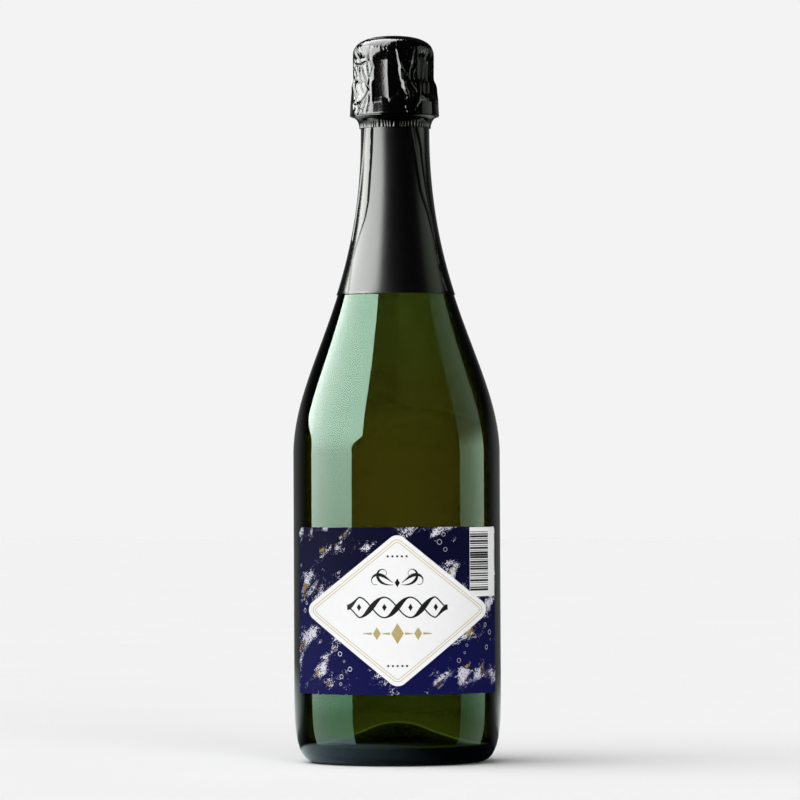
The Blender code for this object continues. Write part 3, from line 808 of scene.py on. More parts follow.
def double_sheet(name: str, outside: np.ndarray, inside: np.ndarray, ring: bool,
                 material: bpy.types.Material, sharp: float = 50.0) -> bpy.types.Object:
    """A thin sheet between two grids of points, shut along every edge.

    Args:
        name: the piece's name.
        outside: the outer side, as rows x columns x 3.
        inside: the inner side, of the same size.
        ring: the columns go all the way round.
        material: the finish.
        sharp: the angle in degrees past which an edge stays sharp.

    Returns:
        The new object, with a UV map that runs along its columns and rows.
    """
    rows, columns = outside.shape[:2]
    count = rows * columns
    wide = columns if ring else columns - 1
    faces = []
    for row in range(rows - 1):
        for column in range(wide):
            a, b = row * columns + column, row * columns + (column + 1) % columns
            c, d = b + columns, a + columns
            faces += [(a, b, c, d), (count + a, count + d, count + c, count + b)]
    for row in (0, rows - 1):
        for column in range(wide):
            a, b = row * columns + column, row * columns + (column + 1) % columns
            faces.append((a, b, count + b, count + a))
    for column in () if ring else (0, columns - 1):
        for row in range(rows - 1):
            a = row * columns + column
            faces.append((a, a + columns, count + a + columns, count + a))
    points = np.concatenate([outside.reshape(-1, 3), inside.reshape(-1, 3)])
    along, up = np.meshgrid(np.arange(columns) / max(columns - 1, 1), np.arange(rows) / (rows - 1))
    uvs = np.tile(np.stack([along.ravel(), up.ravel()], 1), (2, 1))
    return surface(name, points, faces, material, uvs, sharp)


def place_piece(piece: bpy.types.Object, body: Body, slot: Slot, *nodes: str) -> None:
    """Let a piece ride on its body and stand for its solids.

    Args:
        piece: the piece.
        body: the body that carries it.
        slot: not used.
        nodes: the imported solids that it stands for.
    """
    if nodes:
        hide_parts(*nodes)
    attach(piece, body.value)
    log.info("%s rides on %s: %d faces", piece.name, body.value, len(piece.data.polygons))


def arc(center: tuple[float, float], width: float, height: float, start: float, end: float,
        steps: int = 12, power: float = 2.0) -> Outline:
    """An ellipse's arc between two angles in degrees; a power over 2 makes it squarer."""
    angles = np.radians(np.linspace(start, end, steps + 1))
    across, up = (np.sign(part) * np.abs(part) ** (2 / power) for part in (np.cos(angles), np.sin(angles)))
    return [(center[0] + width * a, center[1] + height * b) for a, b in zip(across, up)]


def offset(line: Outline | np.ndarray, distance: float) -> Outline:
    """The line moved to its left by a distance."""
    points = np.array(line)
    along = np.gradient(points, axis=0)
    along /= np.linalg.norm(along, axis=1)[:, None]
    moved = points + np.stack([-along[:, 1], along[:, 0]], 1) * distance
    return [tuple(point) for point in moved]


def eased(line: Outline, cut: float, steps: int = 4) -> Outline:
    """The line with its corners rounded, each cut back by at most a distance.

    Args:
        line: the points.
        cut: how far from a corner its rounding starts.
        steps: how many pieces a rounding has.

    Returns:
        The rounded line.
    """
    points = [np.array(point, float) for point in line]
    rounded = [tuple(points[0])]
    for before, corner, after in zip(points, points[1:], points[2:]):
        start = corner + (before - corner) * min(0.45, cut / max(np.linalg.norm(before - corner), MERGE))
        end = corner + (after - corner) * min(0.45, cut / max(np.linalg.norm(after - corner), MERGE))
        for share in np.linspace(0.0, 1.0, steps + 1):
            first, second = start + (corner - start) * share, corner + (end - corner) * share
            rounded.append(tuple(first + (second - first) * share))
    return rounded + [tuple(points[-1])]


def spaced(line: Sequence, count: int) -> np.ndarray:
    """The line again as evenly spaced points."""
    points = np.array(line, float)
    lengths = np.concatenate([[0.0], np.cumsum(np.linalg.norm(np.diff(points, axis=0), axis=1))])
    wanted = np.linspace(0.0, lengths[-1], count)
    return np.stack([np.interp(wanted, lengths, points[:, axis]) for axis in range(points.shape[1])], 1)


def around(turn: float, radius: float, height: float, aside: float = 0.0) -> Vector:
    """A point at a turn from the label's middle, moved aside along the circle."""
    angle = FRONT + turn
    return Vector((radius * math.cos(angle) - aside * math.sin(angle),
                   radius * math.sin(angle) + aside * math.cos(angle), height))


def turned_mesh(outline: Outline) -> bpy.types.Mesh:
    """The start mesh of a turned solid: its outline as loose points."""
    return mesh_of("outline", [(radius, 0.0, height) for radius, height in outline])


def path_mesh(points: Sequence, closed: bool = False) -> bpy.types.Mesh:
    """The start mesh of a wire: its path as a chain of edges."""
    count = len(points)
    return mesh_of("path", points, [(i, (i + 1) % count) for i in range(count if closed else count - 1)])


def climb(value: np.ndarray | float, width: float) -> np.ndarray | float:
    """0 up to a value of 0, rising evenly to 1 at a width."""
    return np.clip(value / width, 0.0, 1.0)


def hump(value: np.ndarray, middle: float, half: float) -> np.ndarray:
    """1 in the middle, falling along a parabola to 0 at half a width either side."""
    return np.clip(1 - ((value - middle) / half) ** 2, 0.0, 1.0)


def follow(places: np.ndarray, stops: Sequence[tuple[float, float]]) -> np.ndarray:
    """The value at each place on a broken line through stops of (place, value)."""
    return np.interp(places, *zip(*stops))


def each(rule: Callable[[float, float], float], first: np.ndarray, second: np.ndarray) -> np.ndarray:
    """What a rule gives for every pair of numbers from two grids."""
    return np.array([[rule(a, b) for a, b in zip(*rows)] for rows in zip(first, second)])


def crossing(line: np.ndarray, turns: np.ndarray) -> tuple[np.ndarray, np.ndarray, np.ndarray]:
    """The turns, heights and radii where a line of (radius, height) meets every turn, as grids."""
    rows, columns = len(line), len(turns)
    return np.tile(turns, (rows, 1)), np.tile(line[:, 1:], (1, columns)), np.tile(line[:, :1], (1, columns))


def wrap(line: np.ndarray, moves: Sequence[float], turns: np.ndarray, lift: np.ndarray,
         aside: np.ndarray | float = 0.0) -> list[np.ndarray]:
    """The two sides of foil wrapped round the bottle, as grids for double_sheet.

    Args:
        line: the foil's line as (radius, height), one point a row.
        moves: how far each side lies to the right of the line.
        turns: the turn in degrees of each place, as rows x columns.
        lift: how far each place stands out.
        aside: how far each place is pushed to the left.

    Returns:
        A grid of points for each side.
    """
    sides, angle = [], np.radians(turns) + FRONT
    for move in moves:
        moved = np.array(offset(line, -move))
        reach, heights = moved[:, :1] + lift, np.tile(moved[:, 1:], (1, turns.shape[1]))
        sides.append(np.stack([reach * np.cos(angle) - aside, reach * np.sin(angle), heights], 2))
    return sides


def cloud(x: float, y: float, z: float) -> float:
    """Smooth noise from -1 to 1 with features about one unit across."""
    return noise.noise(Vector((x, y, z)), noise_basis="PERLIN_NEW")


# Pieces


def bell(reach: float, foot: float, height: float, steps: int) -> Outline:
    """A smooth hump's outline from its top on the axis down to its reach."""
    shares = np.linspace(0.0, 1.0, steps + 1)
    return [(reach * share, foot + height * (1 + math.cos(math.pi * share)) / 2) for share in shares]


@dataclass
class Glass:
    """The glass bottle, heights from the table up."""

    body_radius: float = 0.0446
    height: float = 0.2985
    wall: float = 0.0065
    shoulder_start: float = 0.1319
    shoulder_fullness: float = 0.0385
    heel: tuple[float, float] = (0.011, 0.030)
    heel_power: float = 3.0
    foot_width: float = 0.0022
    punt_depth: float = 0.0135
    punt_glass: float = 0.005
    floor_glass: float = 0.008
    floor_flat: float = 0.002
    floor_corner: float = 0.005
    corner_height: float = 0.007
    neck_radius: float = 0.01436
    neck_fullness: float = 0.0738
    finish_depth: float = 0.0265
    bore: float = 0.0088
    lip_radius: float = 0.0143
    lip_rounding: float = 0.002
    lip_height: float = 0.0065
    throat: tuple[float, float] = (0.0136, 0.001)
    collar_radius: float = 0.0158
    collar: tuple[float, float] = (0.0125, 0.003)
    collar_ease: float = 0.0006
    collar_slope: float = 0.0009
    groove: tuple[float, float, float] = (0.0132, 0.0055, 0.0012)
    fill_depth: float = 0.085
    wine_overlap: float = 0.00004
    wine_edge: tuple = ((0.0012, 0.0), (0.0004, 0.0003), (0.0, 0.0009))
    sides: int = 224

    @property
    def neck_end(self) -> float:
        """The height at which the shoulder's curve has become the neck."""
        return self.height - self.finish_depth

    def shoulder(self, share: float, body: float, neck: float) -> tuple[float, float]:
        """A point of the curve from the body up into the neck.

        Args:
            share: how far along, from 0 to 1.
            body: the radius at its foot.
            neck: the radius at its top.

        Returns:
            The radius and height.
        """
        rest = 1 - share
        weights = (rest ** 3, 3 * rest ** 2 * share, 3 * rest * share ** 2, share ** 3)
        heights = (self.shoulder_start, self.shoulder_start + self.shoulder_fullness,
                   self.neck_end - self.neck_fullness, self.neck_end)
        radii = (body, body, neck, neck)
        return sum(w * r for w, r in zip(weights, radii)), sum(w * h for w, h in zip(weights, heights))

    def share_at(self, height: float) -> float:
        """The share at which the shoulder's curve reaches a height."""
        low, high = 0.0, 1.0
        for _ in range(40):
            middle = (low + high) / 2
            low, high = (middle, high) if self.shoulder(middle, 1.0, 0.0)[1] < height else (low, middle)
        return low

    def curve(self, body: float, neck: float, start: float = 0.0, end: float = 1.0,
              steps: int = 56) -> Outline:
        """The shoulder's curve between two shares."""
        return [self.shoulder(share, body, neck) for share in np.linspace(start, end, steps + 1)]

    def foot_line(self) -> Outline:
        """From the top of the punt down to the foot and round the heel."""
        foot = self.body_radius - self.heel[0]
        punt = bell(foot - self.foot_width, 0.0, self.punt_depth, 28)
        return punt + arc((foot, self.heel[1]), *self.heel, -90, 0, 32, self.heel_power)

    def mouth_line(self) -> Outline:
        """From the end of the neck up over the collar and the lip to the bore."""
        collar_top = self.height - self.collar[0]
        collar_foot = collar_top - self.collar[1]
        groove_radius, groove_height, groove_ease = self.groove
        groove_top = collar_foot - self.collar_slope
        groove_foot = groove_top - groove_height
        lip_foot = self.height - self.lip_height
        line = [
            (self.neck_radius, groove_foot - 2 * groove_ease),
            (self.neck_radius, groove_foot - groove_ease),
            (groove_radius, groove_foot + groove_ease),
            (groove_radius, groove_top),
            (self.collar_radius, collar_foot),
            (self.collar_radius, collar_top),
            (self.throat[0], collar_top + self.throat[1]),
            (self.throat[0], lip_foot - self.throat[1]),
            (self.lip_radius, lip_foot),
            (self.lip_radius, self.height),
            (self.bore, self.height),
            (self.bore, self.height - 2 * self.lip_rounding),
        ]
        return eased(line, 0.0007, 5)

    def inside_line(self, out: float = 0.0) -> Outline:
        """The inside from the wine's level down the wall and over the punt, moved outwards."""
        wall = self.body_radius - self.wall
        valley = wall - self.floor_corner
        corner = (valley, self.floor_glass + self.corner_height)
        dome = self.punt_depth + self.punt_glass - self.floor_glass
        line = [
            *reversed(self.curve(wall, self.bore, 0.0, self.share_at(self.height - self.fill_depth), 40)),
            *arc(corner, self.floor_corner, self.corner_height, 0, -90, 16),
            *reversed(bell(valley - self.floor_flat, self.floor_glass, dome, 28)),
        ]
        return offset(line, out) if out else line

    def outline(self) -> Outline:
        """The whole outline, from the punt's middle outside to the punt's middle inside."""
        level = self.share_at(self.height - self.fill_depth)
        neck_inside = self.curve(self.body_radius - self.wall, self.bore, level, 1.0, 30)
        return [*self.foot_line(), *self.curve(self.body_radius, self.neck_radius)[1:],
                *self.mouth_line(), *reversed(neck_inside[1:]), *self.inside_line()]

    def build(self, turned: bpy.types.NodeTree) -> None:
        """Make and dress the glass and the wine in it."""
        glass = grow("bottle_glass_body", turned, turned_mesh(self.outline()),
                     BottleGlass().build(), Sides=self.sides)
        place_piece(glass, Body.BOTTLE, Slot.GLASS, "glass_bottle")
        line = self.inside_line(self.wine_overlap)
        rim, level = line[0]
        surface_line = [(0.0, level), *((rim - back, level + rise) for back, rise in self.wine_edge)]
        wine = grow("wine_body", turned, turned_mesh([*surface_line, *line[1:-1], (0.0, line[-1][1])]),
                    WineFinish().build(), Sides=self.sides)
        place_piece(wine, Body.BOTTLE, Slot.WINE, "wine")


@dataclass
class Cork:
    """The cork: a mushroom of pressed granules with two natural discs under it."""

    glass: Glass
    gap: float = 0.0003
    side_gap: float = 0.00035
    head_radius: float = 0.0139
    head_height: float = 0.0126
    crown_height: float = 0.005
    foot: tuple[float, float] = (0.0014, 0.0022)
    shank: float = 0.025
    disc: float = 0.0055
    sides: int = 128

    @property
    def foot_height(self) -> float:
        """The height of the underside of the head."""
        return self.glass.height + self.gap

    @property
    def top(self) -> float:
        """The height of the top of the head."""
        return self.foot_height + self.head_height

    def roughen(self, piece: bpy.types.Object, depth: float) -> None:
        """Sink the surface unevenly, as granules do, without moving the axis."""
        for vertex in piece.data.vertices:
            place = vertex.co
            out = math.hypot(place.x, place.y)
            if out > self.gap:
                dent = depth * (0.5 + 0.5 * cloud(*(place * 900.0)))
                place.x -= place.x / out * dent
                place.y -= place.y / out * dent

    def build(self, turned: bpy.types.NodeTree) -> None:
        """Make and dress the body and both discs."""
        radius = self.glass.bore - self.side_gap
        end = self.foot_height - self.shank
        discs_top = end + 2 * self.disc + self.gap
        head = crown(self.top, self.head_radius, self.crown_height, self.head_radius, 26)
        side = eased([
            head[-1],
            (self.head_radius, self.foot_height + self.foot[1]),
            (self.head_radius - self.foot[0], self.foot_height),
            (radius, self.foot_height),
            *[(radius, height) for height in np.linspace(self.foot_height - 0.001, discs_top + 0.001, 12)],
            (radius, discs_top + self.gap),
            (0.0, discs_top + self.gap),
        ], 0.0004, 3)
        body = grow("cork_body_pressed", turned, turned_mesh([*head, *side[1:]]),
                    PressedCork().build(), Sides=self.sides)
        self.roughen(body, 0.00012)
        place_piece(body, Body.CORK, Slot.PRESSED_CORK, "cork_body")
        bark = NaturalCork().build()
        for node, top in (("cork_disc_upper", discs_top), ("cork_disc_lower", end + self.disc)):
            foot = top - self.disc
            line = [(0.0, foot), (radius, foot), (radius, foot + self.disc / 2), (radius, top), (0.0, top)]
            disc = grow(f"{node}_bark", turned, turned_mesh(eased(line, 0.0006, 4)), bark, Sides=self.sides)
            self.roughen(disc, 0.00006)
            place_piece(disc, Body.CORK, Slot.NATURAL_CORK, node)


def crown(top: float, width: float, height: float, reach: float, steps: int, power: float = 2.5) -> Outline:
    """A domed cap's outline from the axis out to its reach."""
    radii = [reach * math.sin(math.pi / 2 * share) for share in np.linspace(0.0, 1.0, steps + 1)]
    falls = [1 - (1 - min(radius / width, 1.0) ** power) ** (1 / power) for radius in radii]
    return [(radius, top - height * fall) for radius, fall in zip(radii, falls)]


@dataclass
class WireCage:
    """The wire cage: metal cap, four twisted wires, belt and loop."""

    cork: Cork
    metal: float = 0.0003
    plaque_radius: float = 0.0137
    plaque_height: float = 0.0029
    plaque_rim: float = 0.0005
    bead: tuple[float, float] = (0.0085, 0.0003)
    frame_wire: float = 0.0009
    belt_wire: float = 0.001
    twist_radius: float = 0.0006
    leg_turn: float = math.radians(14)
    legs: int = 4
    leg_half_twists: int = 5
    tail_half_twists: int = 3
    tail_length: float = 0.007
    loop_size: tuple[float, float] = (0.0076, 0.0088)
    loop_lean: float = 0.0019
    loop_turn: float = math.radians(-98)
    sides: int = 12

    def __post_init__(self) -> None:
        """Work out the places that follow from the glass and the cork."""
        glass, gap = self.cork.glass, self.cork.gap
        self.gap = gap
        self.leg_half = self.twist_radius + self.frame_wire / 2
        self.plaque_top = self.cork.top + gap + self.metal
        self.collar_top = glass.height - glass.collar[0]
        self.collar_foot = self.collar_top - glass.collar[1]
        self.hook = self.belt_wire / 2 + gap + self.frame_wire / 2
        self.belt_radius = glass.groove[0] + gap + self.frame_wire / 2 + self.hook
        self.belt_height = self.collar_foot - glass.collar_slope - gap - self.frame_wire / 2 - self.hook
        self.cork_leg = self.cork.head_radius + gap + self.leg_half
        self.lip_leg = glass.lip_radius + gap + self.leg_half
        self.collar_leg = glass.collar_radius + gap + self.leg_half
        self.ring = (self.plaque_radius + gap + self.frame_wire / 2, self.plaque_top - self.plaque_height)
        self.loop_radius = glass.collar_radius + gap + self.twist_radius + self.belt_wire / 2

    def leg_line(self, steps: int) -> np.ndarray:
        """The middle of a leg, as (radius, height) from the top ring to the collar."""
        glass = self.cork.glass
        line = [
            self.ring,
            (self.cork_leg, self.ring[1] - self.cork.crown_height / 2),
            (self.cork_leg, self.cork.foot_height + self.cork.foot[1]),
            (self.lip_leg, glass.height - glass.lip_rounding / 2),
            (self.lip_leg, glass.height - glass.lip_height),
            (self.collar_leg, self.collar_top + glass.collar_ease),
            (self.collar_leg, self.collar_foot + glass.collar_ease),
        ]
        return spaced(eased(line, 0.0012, 5), steps + 1)

    def strand(self, turn: float, side: int, steps: int = 90) -> list[Vector]:
        """One wire of a leg's twisted pair, down to its hook round the belt.

        Args:
            turn: where the leg stands.
            side: 1 or -1, for the two wires of the pair.
            steps: how many points the straight part has.

        Returns:
            The wire's path.
        """
        line = self.leg_line(steps)
        moved = np.array(offset(line, 1.0)) - line
        points = []
        for step, ((radius, height), normal) in enumerate(zip(line, moved)):
            angle = math.pi * self.leg_half_twists * step / steps
            aside = side * self.twist_radius * math.cos(angle)
            out = side * self.twist_radius * math.sin(angle)
            points.append(around(turn, radius + out * normal[0], height + out * normal[1], aside))
        aside = side * self.twist_radius * math.cos(math.pi * self.leg_half_twists)
        first, last = (45, -80) if side > 0 else (90, 260)
        hook = arc((self.belt_radius, self.belt_height), self.hook, self.hook, first, last, 18)
        return points + [around(turn, radius, height, aside) for radius, height in hook]

    def wires(self, wire: bpy.types.NodeTree, steel: bpy.types.Material) -> None:
        """Make and dress the four wires and the belt."""
        quarter = 2 * math.pi / self.legs
        spread = self.twist_radius / self.ring[0]
        for number in range(self.legs):
            start = self.leg_turn + number * quarter
            turns = np.linspace(start + spread, start + quarter - spread, 40)[1:-1]
            ring = [around(turn, *self.ring) for turn in turns]
            path = [*reversed(self.strand(start, 1)), *ring, *self.strand(start + quarter, -1)]
            piece = grow(f"cage_wire_{number + 1}_round", wire, path_mesh(path), steel,
                         Wire_Radius=self.frame_wire / 2, Sides=self.sides)
            place_piece(piece, Body.CAGE, Slot.STEEL, f"cage_wire_{number + 1}")
        belt = [around(turn, self.belt_radius, self.belt_height)
                for turn in np.linspace(0.0, 2 * math.pi, 120, endpoint=False)]
        piece = grow("cage_belt_wire_round", wire, path_mesh(belt, closed=True), steel,
                     Wire_Radius=self.belt_wire / 2, Sides=self.sides)
        place_piece(piece, Body.CAGE, Slot.STEEL, "cage_belt_wire")

    def tail(self, side: int, steps: int = 48) -> list[Vector]:
        """One wire of the loop's twisted tail, from its root up."""
        points = []
        for step in range(steps):
            angle = math.pi * self.tail_half_twists * step / steps
            radius = self.loop_radius + side * self.twist_radius * math.sin(angle)
            height = self.belt_height + self.tail_length * step / steps
            points.append(around(self.loop_turn, radius, height, side * self.twist_radius * math.cos(angle)))
        return points

    def loop(self, wire: bpy.types.NodeTree, steel: bpy.types.Material) -> None:
        """Make and dress the twisted tail and the loop that a finger turns."""
        width, height = self.loop_size
        ring = []
        for angle in np.linspace(0.35, 2 * math.pi - 0.35, 56):
            up = self.tail_length + height / 2 * (1 - math.cos(angle))
            over = min(1.0, max(0.0, up - self.tail_length) / (height / 2))
            ring.append(around(self.loop_turn, self.loop_radius - self.loop_lean * over,
                               self.belt_height + up, width / 2 * math.sin(angle)))
        path = [*self.tail(-1), *ring, *reversed(self.tail(1))]
        piece = grow("cage_loop_round", wire, path_mesh(path), steel,
                     Wire_Radius=self.belt_wire / 2, Sides=self.sides)
        place_piece(piece, Body.LOOP, Slot.STEEL, "cage_loop")

    def plaque(self, turned: bpy.types.NodeTree) -> None:
        """Make and dress the metal cap on the cork."""
        dome = crown(self.plaque_top, self.plaque_radius, self.plaque_height, self.plaque_radius, 44)
        bead_radius, bead_height = self.bead
        over = [(r, h + bead_height * math.exp(-((r - bead_radius) / 0.0009) ** 2)) for r, h in dome]
        inner = self.plaque_radius - self.metal
        under = [(r, h - self.metal) for r, h in over if r < inner - self.metal / 2]
        rim = self.plaque_top - self.plaque_height - self.plaque_rim
        line = [*over, (self.plaque_radius, rim), (inner, rim), (inner, self.ring[1]), *reversed(under)]
        cap = grow("cage_cap_enamelled", turned, turned_mesh(line), CapMetal().build(), Sides=144)
        place_piece(cap, Body.CAGE, Slot.CAP, "cage_cap_plaque")

    def build(self, turned: bpy.types.NodeTree, wire: bpy.types.NodeTree) -> None:
        """Make and dress the whole cage."""
        steel = SteelWire().build()
        self.plaque(turned)
        self.wires(wire, steel)
        self.loop(wire, steel)


def near(turn: np.ndarray | float, place: float, width: float) -> np.ndarray | float:
    """1 at a place round the bottle, falling smoothly to 0 at a width either side."""
    away = np.abs((np.asarray(turn) - place + math.pi) % (2 * math.pi) - math.pi)
    return (1 + np.cos(np.pi * np.minimum(away / width, 1.0))) / 2


@dataclass(frozen=True)
class Crease:
    """A fold in foil along a line of (turn in degrees, height in millimetres)."""

    line: tuple[tuple[float, float], ...]
    depth: float = 0.22
    reach: tuple[float, float] = (0.45, 0.45)
    ends: tuple[float, float] = (1.0, 1.0)

    def dent(self, turns: np.ndarray, heights: np.ndarray, radii: np.ndarray) -> np.ndarray:
        """How far it sinks the foil, in millimetres, below zero where it stands out.

        Args:
            turns: the places' turns in degrees.
            heights: their heights in millimetres.
            radii: the foil's radius at each, in millimetres.

        Returns:
            The depth at each place.
        """
        middle = sum(turn for turn, _ in self.line) / len(self.line)
        across = np.radians((turns - middle + 180.0) % 360.0 - 180.0) * radii
        least = np.full(turns.shape, 1e9)
        shape = np.zeros(turns.shape)
        parts = len(self.line) - 1
        for part, ((turn, height), (next_turn, next_height)) in enumerate(zip(self.line, self.line[1:])):
            left, right = (np.radians(place - middle) * radii for place in (turn, next_turn))
            wide, tall = right - left, next_height - height
            share = climb((across - left) * wide + (heights - height) * tall, wide ** 2 + tall ** 2)
            gap_x, gap_y = across - left - wide * share, heights - height - tall * share
            away = np.hypot(gap_x, gap_y)
            size = self.ends[0] + (self.ends[1] - self.ends[0]) * (part + share) / parts
            reach = np.where(wide * gap_y - tall * gap_x > 0, self.reach[0], self.reach[1]) * size
            tent = np.maximum(0.0, 1.0 - away / reach) * size
            shape = np.where(away < least, tent, shape)
            least = np.minimum(away, least)
        return self.depth * shape


@dataclass(frozen=True)
class HoodPanels:
    """The hood's larger shapes: turns in degrees, heights and depths in millimetres.

    A smooth window is sunk in front, with a raised wall at its right, and each side is flat.
    """

    window: tuple[float, float] = (-17.5, 13.9)
    window_depth: float = 0.75
    slope_turn: float = -8.0
    slope_depth: float = 0.40
    slope: float = 0.012
    wall: tuple = ((285.0, 15.5), (290.0, 12.5), (295.0, 10.5), (300.0, 8.5), (306.0, 5.5))
    wall_height: float = 0.30
    foot: tuple = ((-32, 283.4), (-18, 284.0), (-9, 283.2), (2, 285.8), (12, 289.6))
    top: float = 306.5
    plain_radius: tuple = ((283.0, 18.35), (302.0, 17.55))
    low_turn: float = -18.0
    low_half: float = 13.0
    low_depth: float = 0.52
    low_top: float = 296.0
    flats: tuple = ((-58.0, 25.5, 280.5, 1.25), (63.0, 26.0, 285.0, 2.1))
    flat_top: float = 308.0
    tuck: tuple[float, float] = (-62.0, 30.0)
    tuck_top: float = 283.6

    def front(self, turns: np.ndarray, heights: np.ndarray, radii: np.ndarray) -> np.ndarray:
        """How far the window and the wall beside it sink the foil at each place."""
        wall = follow(heights, self.wall)
        rise = climb(turns - wall + 2.0, 4.4)
        right = self.slope_depth + self.slope * np.clip(turns - self.slope_turn, 0.0, 16.0)
        sunk = np.where(turns > self.slope_turn, right, self.window_depth * hump(turns, *self.window))
        back = np.clip(1 - (turns - wall - 2.4) / 9.0, 0.0, 1.0)
        sunk = sunk * (1 - rise) - self.wall_height * rise * back
        mask = climb(heights - follow(turns, self.foot), 1.9) * climb(self.top - heights, 4.5)
        inside = climb(turns + 31.5, 2.0) * climb(wall + 3.0 - turns, 3.0)
        left = np.clip(self.low_turn - turns, 0.0, self.low_half) / self.low_half
        low = self.low_depth * (1 - left ** 2) * (1 - rise)
        straight = radii - follow(heights, self.plain_radius)
        return sunk * mask + straight * mask * inside + low * (1 - mask) * (heights < self.low_top)

    def depth(self, turns: np.ndarray, heights: np.ndarray, radii: np.ndarray) -> np.ndarray:
        """How far the panels sink the foil.

        Args:
            turns: the places' turns.
            heights: their heights.
            radii: the foil's plain radius there.

        Returns:
            The depth at each place.
        """
        flat = 0.0
        for middle, half, foot, deep in self.flats:
            part = deep * hump(turns, middle, half)
            flat = flat + part * climb(heights - foot, 3.0) * climb(self.flat_top - heights, 5.0)
        tuck = near(np.radians(turns), *np.radians(self.tuck))
        under = 0.2 * np.clip(self.tuck_top - heights, 0.0, 3.0) * tuck
        return self.front(turns, heights, radii) + flat + under


@dataclass
class FoilHood:
    """The creased black foil over cork and cage, with the round piece on its top."""

    cage: WireCage
    ease: float = 0.0005
    head_ease: float = 0.001
    foil: float = 0.00025
    crown_height: float = 0.0085
    opening: float = 0.0105
    lap: float = 0.001
    fold: float = 0.0006
    flare: float = 0.00018
    bulge: float = 0.0012
    bulge_turn: float = math.radians(24)
    disc_radius: float = 0.0118
    foil_gap: float = 0.0002
    aside: float = 0.0006
    tilt: tuple[float, float] = (0.286, 0.010)
    roughness: tuple = ((-180, 0.7), (-100, 0.6), (-88, 0.22), (-34, 0.2), (-31, 0.0), (6, 0.0),
                        (12, 0.9), (32, 0.9), (38, 0.10), (84, 0.10), (100, 0.6), (180, 0.7))
    gather: tuple[float, float] = (308.6, 2.4)
    gather_depth: float = 0.00013
    flare_height: float = 0.0028
    columns: int = 400
    rows: int = 112
    creases: tuple[Crease, ...] = (
        Crease(((-73, 308.0), (-75, 306.4), (-66, 303.4), (-62, 301.5)), 0.52, (0.9, 0.5)),
        Crease(((-77, 300.7), (-66, 300.4), (-55, 300.9), (-45, 301.3)), 0.46, (0.6, 0.7)),
        Crease(((-64, 300.2), (-66, 297.5), (-62, 293.0), (-52, 288.6)), 0.78, (1.7, 0.6), (1.0, 0.5)),
        Crease(((-58, 300.2), (-54, 296.3), (-45, 292.2), (-39, 289.3)), 0.60, (1.0, 0.5)),
        Crease(((-44, 300.8), (-42, 297.4), (-39, 293.0), (-41, 290.6)), 0.56, (1.0, 0.5), (1.0, 0.7)),
        Crease(((-35, 307.0), (-37, 304.3), (-40, 302.0)), 0.6, (0.8, 1.6), (0.5, 1.0)),
        Crease(((-40, 302.0), (-35, 300.7), (-31, 298.8), (-33, 296.7), (-38, 294.6)), 0.54, (0.8, 0.6),
               (1.0, 0.7)),
        Crease(((-82, 294.3), (-76, 290.7), (-69, 287.1)), 0.62, (0.9, 0.6)),
        Crease(((-40, 292.4), (-38, 288.7), (-38, 284.0), (-40, 279.5)), 0.56, (1.1, 0.6)),
        Crease(((-40, 288.2), (-46, 286.0), (-57, 283.8), (-68, 283.0)), 0.60, (0.6, 1.2)),
        Crease(((-45, 285.0), (-49, 282.4), (-51, 279.4)), 0.56, (0.9, 0.6)),
        Crease(((-72, 283.0), (-62, 281.6), (-50, 280.2)), 0.42, (0.7, 2.0)),
        Crease(((6, 306.0), (8, 302.2), (10, 299.8), (15, 296.6), (20, 294.0)), -0.5, (0.7, 1.0)),
        Crease(((10, 298.0), (12, 293.3), (14, 290.4), (18, 286.6)), -0.55, (1.0, 1.2)),
        Crease(((11, 286.0), (15, 282.3), (17, 279.4)), -0.34, (0.5, 0.6)),
        Crease(((30, 306.7), (26, 302.1), (23, 298.0), (21, 294.7), (23, 291.5), (29, 288.6)), -0.42,
               (0.8, 0.6)),
        Crease(((36, 307.5), (36, 302.8)), -0.25, (0.6, 0.6)),
        Crease(((41, 301.6), (40, 295.5), (36, 289.9), (33, 284.3)), -0.34, (1.2, 0.6)),
        Crease(((62, 306.0), (60, 301.1), (54, 294.9), (48, 289.4), (50, 285.2)), -0.34, (1.4, 0.6)),
        Crease(((70, 301.0), (66, 292.0), (60, 286.0)), 0.3, (0.6, 1.0)),
        Crease(((33, 281.8), (38, 284.2), (60, 285.0), (76, 284.0)), 0.3, (0.9, 0.5)),
        Crease(((12, 284.5), (22, 288.0), (28, 292.5)), 0.24, (0.6, 0.5)),
    )

    def __post_init__(self) -> None:
        """Work out the hood's widths and heights from the cage under it."""
        cage = self.cage
        self.out = cage.leg_half + self.ease + self.foil
        self.width = cage.cork_leg + cage.leg_half + self.head_ease + self.foil
        self.top = cage.plaque_top + cage.bead[1] + cage.gap + self.foil
        self.edge_radius = cage.collar_leg + self.out
        self.edge = cage.belt_height - cage.hook

    def line(self) -> np.ndarray:
        """The hood's outer side from its turned-in top edge down to its lower edge."""
        glass, cork = self.cage.cork.glass, self.cage.cork
        lip_foot = glass.height - glass.lip_height
        raised = self.foil + self.foil_gap - 0.00004
        top = []
        for radius, height in crown(self.top, self.width, self.crown_height, self.width, 90):
            if radius > self.opening - self.lap:
                top.append((radius, height + raised * climb(radius - self.disc_radius, 0.0003)))
        side = eased([
            top[-1],
            (self.width, cork.foot_height + cork.foot[1]),
            (self.cage.lip_leg + self.out, glass.height - glass.lip_rounding),
            (self.cage.lip_leg + self.out, lip_foot + glass.lip_rounding),
            (self.edge_radius - self.ease, lip_foot),
            (self.edge_radius, self.cage.collar_foot),
            (self.edge_radius, self.edge),
        ], 0.0014, 6)
        return spaced([*top, *side[1:]], self.rows)

